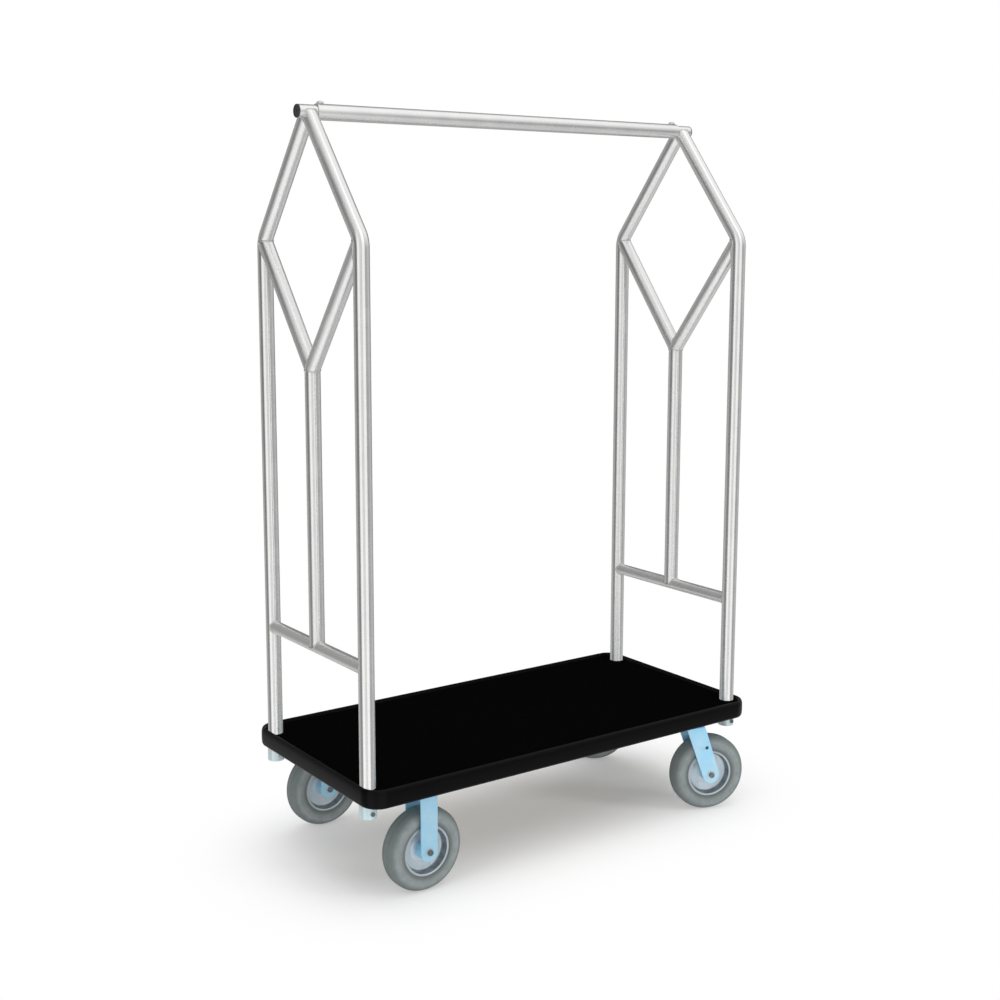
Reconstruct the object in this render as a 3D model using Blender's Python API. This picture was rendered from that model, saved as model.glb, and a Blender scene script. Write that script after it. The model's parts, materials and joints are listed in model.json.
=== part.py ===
"""Hotel luggage cart: two tubular end frames with diamond tops, a hanger bar, a carpeted
deck with a wrap-around bumper, two rigid casters on the left and two swivel casters on
the right.

Units are metres, +Z up. The origin is on the floor under the middle of the deck. +X runs
along the hanger bar towards the swivel casters, and -Y is the front long side.
"""

import math

import bmesh
import bpy
from mathutils import Matrix, Vector

# Fits and facets
CLEARANCE = 0.0003
TUBE_FACETS = 16
SMALL_FACETS = 12
RIM_FACETS = 16
TYRE_FACETS = 24
CORNER_STEPS = 4
BEND_STEPS = 4

# End frames: 1.5 inch tube, 1.25 inch lower rail and bar stubs
TUBE_RADIUS = 0.01905
RAIL_RADIUS = 0.015875
TUBE_WALL = 0.0016
POST_X = 0.583
POST_Y = 0.2335
BEND_HEIGHT = 1.5525
BEND_RADIUS = 0.057
VERTEX_HEIGHT = 1.250
RAIL_HEIGHT = 0.5695
BAR_HEIGHT = 1.847
WELD_PLUG = 0.030
ARM_START = 0.009
MITRE_OVERLAP = 0.001
TRIM_ABOVE_AXIS = 0.004

# Hanger bar and the stubs it slides over
BAR_WALL = 0.0029
BAR_END_X = 0.5635
STUB_INNER_X = 0.520
STUB_OUTER_X = 0.611
BAR_BOLT_X = 0.551
BAR_BOLT_RADIUS = 0.004
BAR_BOLT_HEAD_RADIUS = 0.009

# Deck
DECK_HALF_LENGTH = 0.612
DECK_HALF_WIDTH = 0.2945
DECK_CORNER = 0.048
BUMPER_THICKNESS = 0.007
BUMPER_LIP = 0.002
BUMPER_BOTTOM = 0.246
BUMPER_TOP = 0.293
BOARD_BOTTOM = 0.254
BOARD_TOP = 0.2777
CARPET_TOP = 0.284

# Post sockets under the deck
SOCKET_RADIUS = 0.0214
SOCKET_BOTTOM = 0.2115
SOCKET_PLATE = 0.004
FLANGE_INWARD = 0.060
FLANGE_OUTWARD = 0.010
FLANGE_HALF_WIDTH = 0.036
POST_BOTTOM = 0.214
CROSS_BOLT_HEIGHT = 0.225
CROSS_BOLT_RADIUS = 0.003
CROSS_BOLT_HEAD_RADIUS = 0.0058

# Casters: 8 inch wheels
CASTER_X = 0.440
CASTER_Y = 0.243
WHEEL_RADIUS = 0.104
TYRE_HALF_WIDTH = 0.0275
RIM_FLANGE_RADIUS = 0.064
RIM_SEAT_RADIUS = 0.0597
RIM_HALF_WIDTH = 0.0252
RIM_DISC_HALF_WIDTH = 0.0045
HUB_HALF_WIDTH = 0.0285
HUB_BORE_RADIUS = 0.0113
BEARING_INNER_RADIUS = 0.0079
SPACER_RADIUS = 0.0075
AXLE_RADIUS = 0.005
AXLE_HEAD_RADIUS = 0.0092
LEG_INNER_Y = 0.032
LEG_THICKNESS = 0.004
LEG_END_RADIUS = 0.0235
PLATE_LENGTH = 0.114
PLATE_WIDTH = 0.084
PLATE_THICKNESS = 0.005
TRAIL = 0.048
SWIVEL_ANGLES = {"front": math.radians(-19), "back": math.radians(-40)}
RACE_OUTER_RADIUS = 0.033
RACE_INNER_RADIUS = 0.022
RACE_HEIGHT = 0.006
CROWN_THICKNESS = 0.005
SWIVEL_LEG_HALF_TOP = 0.027
GUARD_HOLE_RADIUS = 0.005
GUARD_HOLE_TRAIL = 0.0336
GUARD_HOLE_HEIGHT = 0.182
KINGPIN_RADIUS = 0.007
KINGPIN_HEAD_RADIUS = 0.013

ENDS = {"left": -1, "right": 1}
SIDES = {"front": -1, "back": 1}

# Name: (colour, metallic, roughness)
FINISHES = {
    "stainless": ((0.72, 0.72, 0.70, 1), 1.0, 0.28),
    "zinc": ((0.48, 0.68, 0.78, 1), 0.85, 0.38),
    "bright_steel": ((0.62, 0.64, 0.66, 1), 1.0, 0.35),
    "rim_silver": ((0.62, 0.65, 0.70, 1), 0.6, 0.40),
    "grey_rubber": ((0.27, 0.30, 0.29, 1), 0.0, 0.75),
    "black_vinyl": ((0.015, 0.015, 0.017, 1), 0.0, 0.45),
    "black_carpet": ((0.012, 0.012, 0.013, 1), 0.0, 0.95),
    "black_plastic": ((0.03, 0.03, 0.03, 1), 0.0, 0.5),
    "plywood": ((0.50, 0.36, 0.22, 1), 0.0, 0.7),
}


def clear_scene():
    for item in list(bpy.data.objects):
        bpy.data.objects.remove(item, do_unlink=True)


def material(name):
    found = bpy.data.materials.get(name)
    if found:
        return found
    colour, metallic, roughness = FINISHES[name]
    made = bpy.data.materials.new(name)
    made.use_nodes = True
    shader = made.node_tree.nodes["Principled BSDF"]
    shader.inputs["Base Color"].default_value = colour
    shader.inputs["Metallic"].default_value = metallic
    shader.inputs["Roughness"].default_value = roughness
    return made


def add_object(name, points, faces, finish, parent=None):
    """A mesh object made of the points and faces, with outward normals and smooth round sides."""
    mesh = bpy.data.meshes.new(name)
    mesh.from_pydata([tuple(point) for point in points], [], faces)
    tidy = bmesh.new()
    tidy.from_mesh(mesh)
    bmesh.ops.recalc_face_normals(tidy, faces=tidy.faces)
    if tidy.calc_volume(signed=True) < 0:
        bmesh.ops.reverse_faces(tidy, faces=tidy.faces)
    tidy.to_mesh(mesh)
    tidy.free()
    mesh.shade_smooth()
    mesh.set_sharp_from_angle(angle=math.radians(35))
    mesh.materials.append(material(finish))
    made = bpy.data.objects.new(name, mesh)
    made.parent = parent
    bpy.context.scene.collection.objects.link(made)
    return made


def empty(name, location, turn=0.0, parent=None):
    made = bpy.data.objects.new(name, None)
    made.location = location
    made.rotation_euler = (0, 0, turn)
    made.parent = parent
    bpy.context.scene.collection.objects.link(made)
    return made


def helper(name, shape, parent=None):
    """A cutter, or a solid that is joined to another."""
    return add_object(name, *shape, "zinc", parent)


def combine(target, other, operation):
    """Unions or cuts with a helper object that stays out of the model."""
    other.hide_render = True
    other.display_type = "WIRE"
    step = target.modifiers.new(f"{operation.lower()}_{other.name}", "BOOLEAN")
    step.operation = operation
    step.object = other
    step.solver = "EXACT"


def cut(target, *cutters):
    for cutter in cutters:
        combine(target, cutter, "DIFFERENCE")


def join(target, *others):
    for other in others:
        combine(target, other, "UNION")


def hole_radius(radius, facets):
    """The faceted hole's corner radius that leaves the clearance all round a shaft."""
    return (radius + CLEARANCE) / math.cos(math.pi / facets)


# Shapes: each returns (points, faces)


def revolved(profile, facets, closed=False):
    """Turns (radius, height) points about Z. An end on the axis becomes a pole."""
    points = []
    rows = []
    for radius, height in profile:
        if radius == 0:
            rows.append([len(points)] * facets)
            points.append((0, 0, height))
            continue
        rows.append(list(range(len(points), len(points) + facets)))
        for index in range(facets):
            angle = 2 * math.pi * index / facets
            points.append((radius * math.cos(angle), radius * math.sin(angle), height))
    pairs = list(zip(rows, rows[1:]))
    if closed:
        pairs.append((rows[-1], rows[0]))
    faces = []
    for lower, upper in pairs:
        for index in range(facets):
            after = (index + 1) % facets
            corners = (lower[index], lower[after], upper[after], upper[index])
            faces.append(tuple(dict.fromkeys(corners)))
    return points, faces


def cylinder(radius, low, high, facets):
    return revolved([(0, low), (radius, low), (radius, high), (0, high)], facets)


def ring(inner, outer, low, high, facets):
    profile = [(inner, low), (outer, low), (outer, high), (inner, high)]
    return revolved(profile, facets, closed=True)


def prism(outline, low, high):
    """A flat outline of (x, y) points, extruded along Z."""
    count = len(outline)
    points = [(x, y, low) for x, y in outline] + [(x, y, high) for x, y in outline]
    faces = [tuple(range(count)), tuple(range(count, 2 * count))]
    for index in range(count):
        after = (index + 1) % count
        faces.append((index, after, count + after, count + index))
    return points, faces


def box(low, high):
    outline = [(low[0], low[1]), (high[0], low[1]), (high[0], high[1]), (low[0], high[1])]
    return prism(outline, low[2], high[2])


def turned(shape, axis, location=(0, 0, 0)):
    """The shape with its local Z along X, Y or Z, moved to the location."""
    spin = Vector((0, 0, 1)).rotation_difference(Vector(axis)).to_matrix().to_4x4()
    place = Matrix.Translation(location) @ spin
    points, faces = shape
    return [place @ Vector(point) for point in points], faces


def swept_rings(path, radius, facets):
    """Rings round a path that lies in a plane of constant X."""
    rings = []
    for index, centre in enumerate(path):
        before = path[max(index - 1, 0)]
        after = path[min(index + 1, len(path) - 1)]
        sideways = Vector((1, 0, 0))
        across = sideways.cross((after - before).normalized())
        row = []
        for step in range(facets):
            angle = 2 * math.pi * step / facets
            outward = math.cos(angle) * sideways + math.sin(angle) * across
            row.append(centre + radius * outward)
        rings.append(row)
    return rings


def bridge(rows, faces):
    facets = len(rows[0])
    for lower, upper in zip(rows, rows[1:]):
        for index in range(facets):
            after = (index + 1) % facets
            faces.append((lower[index], lower[after], upper[after], upper[index]))


def swept(path, radius, facets=TUBE_FACETS):
    """A solid rod along the path."""
    points = []
    rows = []
    for row in swept_rings(path, radius, facets):
        rows.append(list(range(len(points), len(points) + facets)))
        points.extend(row)
    faces = [tuple(rows[0]), tuple(rows[-1])]
    bridge(rows, faces)
    return points, faces


def swept_tube(path, bore_path, radius, wall, facets=TUBE_FACETS):
    """A tube along the path, open at its start. It is blind where bore_path stops short."""
    points = []
    outer = []
    inner = []
    for rows, centres, size in ((outer, path, radius), (inner, bore_path, radius - wall)):
        for row in swept_rings(centres, size, facets):
            rows.append(list(range(len(points), len(points) + facets)))
            points.extend(row)
    faces = []
    bridge(outer, faces)
    bridge(inner, faces)
    bridge([outer[0], inner[0]], faces)
    if (path[-1] - bore_path[-1]).length < 1e-9:
        bridge([outer[-1], inner[-1]], faces)
    else:
        faces.append(tuple(outer[-1]))
        faces.append(tuple(inner[-1]))
    return points, faces


# End frames


def bent_path(start, corner, end, radius):
    """Straight, arc, straight, with the arc tangent to both legs."""
    incoming = (corner - start).normalized()
    outgoing = (end - corner).normalized()
    turn = incoming.angle(outgoing)
    setback = radius * math.tan(turn / 2)
    inward = (outgoing - incoming * incoming.dot(outgoing)).normalized()
    centre = corner - incoming * setback + inward * radius
    arc = []
    for step in range(BEND_STEPS + 1):
        angle = turn * step / BEND_STEPS
        arc.append(centre + radius * (math.sin(angle) * incoming - math.cos(angle) * inward))
    return [start, *arc, end]


def post_path(x, side):
    start = Vector((x, side * POST_Y, POST_BOTTOM))
    corner = Vector((x, side * POST_Y, BEND_HEIGHT))
    return bent_path(start, corner, Vector((x, 0, BAR_HEIGHT)), BEND_RADIUS)


def shortened(path, amount):
    """The path with its last leg cut short by the amount."""
    last = (path[-1] - path[-2]).normalized()
    return [*path[:-1], path[-1] - amount * last]


def mitre_cutter(name, x, side, past):
    """A block over everything further than past beyond the y = 0 plane, seen from this side."""
    reach = 0.06
    edge = -side * past
    low_y, high_y = sorted((edge, -side * reach))
    low = (x - reach, low_y, VERTEX_HEIGHT - reach)
    high = (x + reach, high_y, BAR_HEIGHT + 2 * reach)
    return helper(name, box(low, high))


def end_frame_cutters(end, x):
    """The stub's hole, and the level cut over it that lets the bar lie in a saddle."""
    hole = cylinder(hole_radius(RAIL_RADIUS, TUBE_FACETS), -0.1, 0.1, TUBE_FACETS)
    stub = helper(f"cutter_{end}_stub", turned(hole, (1, 0, 0), (x, 0, BAR_HEIGHT)))
    top = BAR_HEIGHT + TRIM_ABOVE_AXIS
    trim = helper(f"cutter_{end}_trim", box((x - 0.1, -0.1, top), (x + 0.1, 0.1, top + 0.1)))
    return stub, trim


def make_post(end, name, path, cutters):
    """A post with its bend and diamond-top leg. A plug closes the tube at the bar."""
    long_path = shortened(path, -2 * TUBE_RADIUS)
    tube = swept_tube(long_path, shortened(path, WELD_PLUG), TUBE_RADIUS, TUBE_WALL)
    post = add_object(f"{end}_{name}_post", *tube, "stainless")
    cut(post, *cutters, cross_bolt_cutters[end, name])


def make_v_arm(end, name, x, cutters):
    """The lower side of the diamond, and the cutter that copes the centre upright to it."""
    side = SIDES[name]
    vertex = Vector((x, 0, VERTEX_HEIGHT))
    elbow = Vector((x, side * POST_Y, BEND_HEIGHT))
    downhill = (vertex - elbow).normalized()
    path = [elbow + ARM_START * downhill, vertex + 2 * TUBE_RADIUS * downhill]
    tube = swept_tube(path, path, TUBE_RADIUS, TUBE_WALL)
    cut(add_object(f"{end}_{name}_v_arm", *tube, "stainless"), *cutters)
    rod = swept([elbow, path[1]], hole_radius(TUBE_RADIUS, TUBE_FACETS))
    cope = helper(f"cutter_{end}_{name}_v_arm", rod)
    cut(cope, mitre_cutter(f"cutter_{end}_{name}_cope_end", x, side, MITRE_OVERLAP))
    return cope


def make_end_frame(end):
    x = ENDS[end] * POST_X
    stub_cutter, trim_cutter = end_frame_cutters(end, x)
    post_cutters = []
    arm_cutters = []
    for name, side in SIDES.items():
        path = post_path(x, side)
        rod = swept(path, hole_radius(TUBE_RADIUS, TUBE_FACETS))
        post_cutters.append(helper(f"cutter_{end}_{name}_post", rod))
        middle = mitre_cutter(f"cutter_{end}_{name}_middle", x, side, -CLEARANCE / 2)
        make_post(end, name, path, (middle, trim_cutter, stub_cutter))
        arm_cutters.append(make_v_arm(end, name, x, (middle, post_cutters[-1])))

    rail_path = [Vector((x, -POST_Y, RAIL_HEIGHT)), Vector((x, POST_Y, RAIL_HEIGHT))]
    rail_tube = swept_tube(rail_path, rail_path, RAIL_RADIUS, TUBE_WALL)
    cut(add_object(f"{end}_lower_rail", *rail_tube, "stainless"), *post_cutters)

    rail_cutter = helper(
        f"cutter_{end}_rail", swept(rail_path, hole_radius(RAIL_RADIUS, TUBE_FACETS))
    )
    foot = Vector((x, 0, RAIL_HEIGHT + TRIM_ABOVE_AXIS))
    head = Vector((x, 0, VERTEX_HEIGHT))
    bore_foot = foot + Vector((0, 0, WELD_PLUG))
    upright_tube = swept_tube([head, foot], [head, bore_foot], TUBE_RADIUS, TUBE_WALL)
    upright = add_object(f"{end}_centre_upright", *upright_tube, "stainless")
    cut(upright, rail_cutter, *arm_cutters)


# Hanger bar


def make_bar():
    centre = (0, 0, BAR_HEIGHT)
    tube = ring(TUBE_RADIUS - BAR_WALL, TUBE_RADIUS, -BAR_END_X, BAR_END_X, TUBE_FACETS)
    bar = add_object("hanger_bar", *turned(tube, (1, 0, 0), centre), "stainless")
    for end, sign in ENDS.items():
        inner = RAIL_RADIUS - TUBE_WALL
        sleeve = ring(inner, RAIL_RADIUS, STUB_INNER_X, STUB_OUTER_X, TUBE_FACETS)
        stub = add_object(f"{end}_bar_stub", *turned(sleeve, (sign, 0, 0), centre), "stainless")
        bolt_spot = (sign * BAR_BOLT_X, 0, BAR_HEIGHT)
        radius = hole_radius(BAR_BOLT_RADIUS, SMALL_FACETS)
        drill = cylinder(radius, 0, 2 * TUBE_RADIUS, SMALL_FACETS)
        hole = helper(f"cutter_{end}_bar_bolt", turned(drill, (0, 0, 1), bolt_spot))
        cut(bar, hole)
        cut(stub, hole)
        make_bar_bolt(end, bolt_spot)
        make_bar_plug(end, sign)


def make_bar_bolt(end, spot):
    """A domed screw that pins the bar to its stub."""
    seat = TUBE_RADIUS + CLEARANCE
    profile = [
        (0, -0.002),
        (BAR_BOLT_RADIUS, -0.002),
        (BAR_BOLT_RADIUS, seat),
        (BAR_BOLT_HEAD_RADIUS, seat),
        (BAR_BOLT_HEAD_RADIUS, seat + 0.0025),
        (0.7 * BAR_BOLT_HEAD_RADIUS, seat + 0.0050),
        (0, seat + 0.0060),
    ]
    shape = turned(revolved(profile, SMALL_FACETS), (0, 0, 1), spot)
    add_object(f"{end}_bar_bolt", *shape, "bright_steel")


def make_bar_plug(end, sign):
    """A black push-in plug that closes the outer end of the stub."""
    shank = (RAIL_RADIUS - TUBE_WALL) * math.cos(math.pi / TUBE_FACETS) - CLEARANCE
    face = STUB_OUTER_X + CLEARANCE
    profile = [
        (0, STUB_OUTER_X - 0.012),
        (shank, STUB_OUTER_X - 0.012),
        (shank, face),
        (RAIL_RADIUS, face),
        (RAIL_RADIUS, face + 0.0015),
        (RAIL_RADIUS - 0.0012, face + 0.0027),
        (0, face + 0.0030),
    ]
    shape = turned(revolved(profile, TUBE_FACETS), (sign, 0, 0), (0, 0, BAR_HEIGHT))
    add_object(f"{end}_bar_plug", *shape, "black_plastic")


# Deck


def rounded_outline(half_length, half_width, corner):
    """[(point, outward normal)] round a rectangle with round corners."""
    stations = []
    for quarter, (sign_x, sign_y) in enumerate(((1, 1), (-1, 1), (-1, -1), (1, -1))):
        centre = Vector((sign_x * (half_length - corner), sign_y * (half_width - corner)))
        for step in range(CORNER_STEPS + 1):
            angle = math.pi / 2 * (quarter + step / CORNER_STEPS)
            normal = Vector((math.cos(angle), math.sin(angle)))
            stations.append((centre + corner * normal, normal))
    return stations


def board_outline():
    inset = BUMPER_THICKNESS
    return rounded_outline(DECK_HALF_LENGTH - inset, DECK_HALF_WIDTH - inset, DECK_CORNER - inset)


def bumper_profile():
    """(distance outside the board edge, height), a D with a small lip over the carpet edge."""
    half_height = (BUMPER_TOP - BUMPER_BOTTOM) / 2
    middle = BUMPER_BOTTOM + half_height
    profile = [(-BUMPER_LIP, CARPET_TOP + CLEARANCE), (CLEARANCE, CARPET_TOP + CLEARANCE)]
    profile.append((CLEARANCE, BUMPER_BOTTOM))
    steps = 6
    for step in range(1, steps):
        angle = math.pi * (step / steps - 0.5)
        bulge = abs(math.cos(angle)) ** 0.55
        profile.append((BUMPER_THICKNESS * bulge, middle + half_height * math.sin(angle)))
    profile.append((CLEARANCE, BUMPER_TOP))
    profile.append((-BUMPER_LIP, BUMPER_TOP - 0.003))
    return profile


def make_bumper():
    stations = board_outline()
    profile = bumper_profile()
    points = []
    for spot, normal in stations:
        for out, height in profile:
            place = spot + out * normal
            points.append((place.x, place.y, height))
    around = len(stations)
    along = len(profile)
    faces = []
    for index in range(around):
        here = index * along
        there = (index + 1) % around * along
        for step in range(along):
            after = (step + 1) % along
            faces.append((here + step, there + step, there + after, here + after))
    add_object("deck_bumper", points, faces, "black_vinyl")


def make_deck():
    outline = [(spot.x, spot.y) for spot, _ in board_outline()]
    board = add_object("deck_board", *prism(outline, BOARD_BOTTOM, BOARD_TOP), "plywood")
    carpet = add_object(
        "deck_carpet", *prism(outline, BOARD_TOP + CLEARANCE, CARPET_TOP), "black_carpet"
    )
    for end, sign in ENDS.items():
        for name, side in SIDES.items():
            drill = cylinder(hole_radius(TUBE_RADIUS, TUBE_FACETS), 0.2, 0.4, TUBE_FACETS)
            spot = (sign * POST_X, side * POST_Y, 0)
            hole = helper(f"cutter_{end}_{name}_hole", turned(drill, (0, 0, 1), spot))
            cut(board, hole)
            cut(carpet, hole)
    make_bumper()


# Post sockets

cross_bolt_cutters = {}


def make_socket(end, name):
    """A flanged sleeve under the deck that holds the foot of a post, with its cross bolt."""
    sign = ENDS[end]
    side = SIDES[name]
    spot = Vector((sign * POST_X, side * POST_Y, 0))
    under = BOARD_BOTTOM - CLEARANCE
    tube = cylinder(SOCKET_RADIUS, SOCKET_BOTTOM, under - 0.001, TUBE_FACETS)
    socket = add_object(f"{end}_{name}_socket", *turned(tube, (0, 0, 1), spot), "zinc")
    low_x, high_x = sorted((spot.x - sign * FLANGE_INWARD, spot.x + sign * FLANGE_OUTWARD))
    low = (low_x, spot.y - FLANGE_HALF_WIDTH, under - SOCKET_PLATE)
    high = (high_x, spot.y + FLANGE_HALF_WIDTH, under)
    join(socket, helper(f"helper_{end}_{name}_flange", box(low, high)))
    bore = cylinder(hole_radius(TUBE_RADIUS, TUBE_FACETS), 0.2, 0.3, TUBE_FACETS)
    cut(socket, helper(f"cutter_{end}_{name}_bore", turned(bore, (0, 0, 1), spot)))
    drill = cylinder(hole_radius(CROSS_BOLT_RADIUS, SMALL_FACETS), -0.04, 0.04, SMALL_FACETS)
    at_bolt = (spot.x, spot.y, CROSS_BOLT_HEIGHT)
    cross = helper(f"cutter_{end}_{name}_cross", turned(drill, (0, 1, 0), at_bolt))
    cross_bolt_cutters[end, name] = cross
    cut(socket, cross)
    make_socket_bolt(end, name, at_bolt)


def make_socket_bolt(end, name, spot):
    """A hex bolt across the socket and the post, with its head on the outer long side."""
    seat = SOCKET_RADIUS + CLEARANCE
    profile = [
        (0, -seat - 0.006),
        (CROSS_BOLT_RADIUS, -seat - 0.006),
        (CROSS_BOLT_RADIUS, seat),
        (CROSS_BOLT_HEAD_RADIUS, seat),
        (CROSS_BOLT_HEAD_RADIUS, seat + 0.004),
        (0, seat + 0.004),
    ]
    shape = turned(revolved(profile, 6), (0, SIDES[name], 0), spot)
    add_object(f"{end}_{name}_socket_bolt", *shape, "bright_steel")


# Wheels


def rim_profile():
    """(radius, distance across the wheel): a two-flange rim with a dished disc and a hub."""
    half = [
        (HUB_BORE_RADIUS, HUB_HALF_WIDTH),
        (0.0180, HUB_HALF_WIDTH),
        (0.0240, RIM_DISC_HALF_WIDTH),
        (0.0550, RIM_DISC_HALF_WIDTH),
        (0.0575, RIM_HALF_WIDTH),
        (RIM_FLANGE_RADIUS, RIM_HALF_WIDTH),
        (RIM_SEAT_RADIUS, 0.0225),
    ]
    return half + [(radius, -across) for radius, across in reversed(half)]


def tyre_profile():
    """(radius, distance across the wheel) round a low, nearly square tread."""
    half = [
        (hole_radius(RIM_SEAT_RADIUS, TYRE_FACETS), 0.0221),
        (hole_radius(RIM_FLANGE_RADIUS, TYRE_FACETS), 0.0226),
        (0.0670, 0.0265),
        (0.0820, TYRE_HALF_WIDTH),
        (0.0990, 0.0210),
        (WHEEL_RADIUS, 0.0060),
    ]
    return half + [(radius, -across) for radius, across in reversed(half)]


def make_wheel(name, centre, parent):
    """A wheel whose axis is its parent's Y, with its origin at the wheel's centre."""
    axis = empty(f"{name}_wheel_axis", centre, parent=parent)
    spokes = turned(revolved(rim_profile(), RIM_FACETS, closed=True), (0, 1, 0))
    add_object(f"{name}_rim", *spokes, "rim_silver", axis)
    tread = turned(revolved(tyre_profile(), TYRE_FACETS, closed=True), (0, 1, 0))
    add_object(f"{name}_tyre", *tread, "grey_rubber", axis)
    sleeve = HUB_BORE_RADIUS * math.cos(math.pi / RIM_FACETS) - CLEARANCE
    length = HUB_HALF_WIDTH - 0.0005
    bearing = ring(BEARING_INNER_RADIUS, sleeve, -length, length, TUBE_FACETS)
    add_object(f"{name}_hub_bearing", *turned(bearing, (0, 1, 0)), "bright_steel", axis)


def tangent_point(outside, centre, radius, side):
    """Where the line from a point outside a circle touches it, on the given side."""
    gap = outside - centre
    lean = math.acos(radius / gap.length)
    direction = Matrix.Rotation(side * lean, 2) @ gap.normalized()
    return centre + radius * direction


def leg_outline(trail, low, high, top, end_radius):
    """A fork leg seen from the side, in (x, z): top corners, and a round end at the axle."""
    centre = Vector((trail, WHEEL_RADIUS))
    top_low = Vector((low, top))
    top_high = Vector((high, top))
    start = tangent_point(top_low, centre, end_radius, 1) - centre
    finish = tangent_point(top_high, centre, end_radius, -1) - centre
    first = math.atan2(start.y, start.x)
    last = math.atan2(finish.y, finish.x)
    while last < first:
        last += 2 * math.pi
    outline = [top_low]
    steps = 6
    for step in range(steps + 1):
        angle = first + (last - first) * step / steps
        outline.append(centre + end_radius * Vector((math.cos(angle), math.sin(angle))))
    outline.append(top_high)
    return outline


def make_fork(name, kind, trail, half_top, crown_low, crown_high, parent):
    """Two legs joined by a crown, drilled for the axle, in the caster's own frame."""
    outline = leg_outline(trail, -half_top, half_top, crown_high - 0.001, LEG_END_RADIUS)
    outer = LEG_INNER_Y + LEG_THICKNESS
    overlap = outer - 0.001
    crown = box((-half_top - 0.002, -overlap, crown_low), (half_top + 0.002, overlap, crown_high))
    fork = add_object(f"{name}_{kind}_fork", *crown, "zinc", parent)
    for side in (-1, 1):
        low, high = sorted((side * LEG_INNER_Y, side * outer))
        flat, faces = prism([tuple(point) for point in outline], low, high)
        leg = [(x, y, z) for x, z, y in flat]
        join(fork, helper(f"helper_{name}_leg_{side}", (leg, faces), parent))
    drill = cylinder(hole_radius(AXLE_RADIUS, SMALL_FACETS), -0.06, 0.06, SMALL_FACETS)
    at_axle = (trail, 0, WHEEL_RADIUS)
    cut(fork, helper(f"cutter_{name}_axle", turned(drill, (0, 1, 0), at_axle), parent))
    return fork


def make_axle(name, trail, parent):
    """The hex bolt through the fork and the spacer that the hub runs on."""
    seat = LEG_INNER_Y + LEG_THICKNESS + CLEARANCE
    tail = seat + 0.013
    profile = [
        (0, -tail),
        (AXLE_RADIUS, -tail),
        (AXLE_RADIUS, seat),
        (AXLE_HEAD_RADIUS, seat),
        (AXLE_HEAD_RADIUS, seat + 0.0064),
        (0, seat + 0.0064),
    ]
    at_axle = (trail, 0, WHEEL_RADIUS)
    bolt = turned(revolved(profile, SMALL_FACETS), (0, -1, 0), at_axle)
    add_object(f"{name}_axle_bolt", *bolt, "bright_steel", parent)
    half = LEG_INNER_Y - CLEARANCE
    inner = hole_radius(AXLE_RADIUS, SMALL_FACETS)
    spacer = turned(ring(inner, SPACER_RADIUS, -half, half, SMALL_FACETS), (0, 1, 0), at_axle)
    add_object(f"{name}_axle_spacer", *spacer, "bright_steel", parent)


def mounting_plate(thickness):
    top = BOARD_BOTTOM - CLEARANCE
    half_x = PLATE_LENGTH / 2
    half_y = PLATE_WIDTH / 2
    return box((-half_x, -half_y, top - thickness), (half_x, half_y, top))


def make_rigid_caster(name):
    caster = f"left_{name}"
    base = empty(f"{caster}_caster", (-CASTER_X, SIDES[name] * CASTER_Y, 0))
    crown_high = BOARD_BOTTOM - CLEARANCE - PLATE_THICKNESS + 0.001
    crown_low = crown_high - CROWN_THICKNESS
    fork = make_fork(caster, "rigid", 0.0, LEG_END_RADIUS, crown_low, crown_high, base)
    join(fork, helper(f"helper_{caster}_plate", mounting_plate(PLATE_THICKNESS), base))
    make_axle(caster, 0.0, base)
    make_wheel(caster, (0, 0, WHEEL_RADIUS), base)


def make_swivel_caster(name):
    """Top plate, ball race and kingpin stay with the deck. The fork turns about the kingpin."""
    caster = f"right_{name}"
    base = empty(f"{caster}_caster", (CASTER_X, SIDES[name] * CASTER_Y, 0))
    plate_low = BOARD_BOTTOM - CLEARANCE - PLATE_THICKNESS
    plate = add_object(f"{caster}_swivel_plate", *mounting_plate(PLATE_THICKNESS), "zinc", base)
    pin_hole = cylinder(hole_radius(KINGPIN_RADIUS, TUBE_FACETS), 0.2, 0.3, TUBE_FACETS)
    cut(plate, helper(f"cutter_{caster}_kingpin", pin_hole, base))

    race_high = plate_low - CLEARANCE
    race_low = race_high - RACE_HEIGHT
    race = ring(RACE_INNER_RADIUS, RACE_OUTER_RADIUS, race_low, race_high, RIM_FACETS)
    add_object(f"{caster}_swivel_race", *race, "bright_steel", base)

    crown_high = race_low - CLEARANCE
    crown_low = crown_high - CROWN_THICKNESS
    head_high = crown_low - CLEARANCE
    pin = [
        (0, head_high - 0.006),
        (KINGPIN_HEAD_RADIUS, head_high - 0.006),
        (KINGPIN_HEAD_RADIUS, head_high),
        (KINGPIN_RADIUS, head_high),
        (KINGPIN_RADIUS, BOARD_BOTTOM - 2 * CLEARANCE),
        (0, BOARD_BOTTOM - 2 * CLEARANCE),
    ]
    add_object(f"{caster}_kingpin", *revolved(pin, TUBE_FACETS), "bright_steel", base)

    turning = empty(f"{caster}_swivel_axis", (0, 0, 0), SWIVEL_ANGLES[name], base)
    half_top = SWIVEL_LEG_HALF_TOP
    fork = make_fork(caster, "swivel", TRAIL, half_top, crown_low, crown_high, turning)
    cut(fork, helper(f"cutter_{caster}_crown", pin_hole, turning))
    guard = cylinder(GUARD_HOLE_RADIUS, -0.06, 0.06, SMALL_FACETS)
    at_guard = (GUARD_HOLE_TRAIL, 0, GUARD_HOLE_HEIGHT)
    cut(fork, helper(f"cutter_{caster}_guard_hole", turned(guard, (0, 1, 0), at_guard), turning))
    make_axle(caster, TRAIL, turning)
    make_wheel(caster, (TRAIL, 0, WHEEL_RADIUS), turning)


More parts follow.
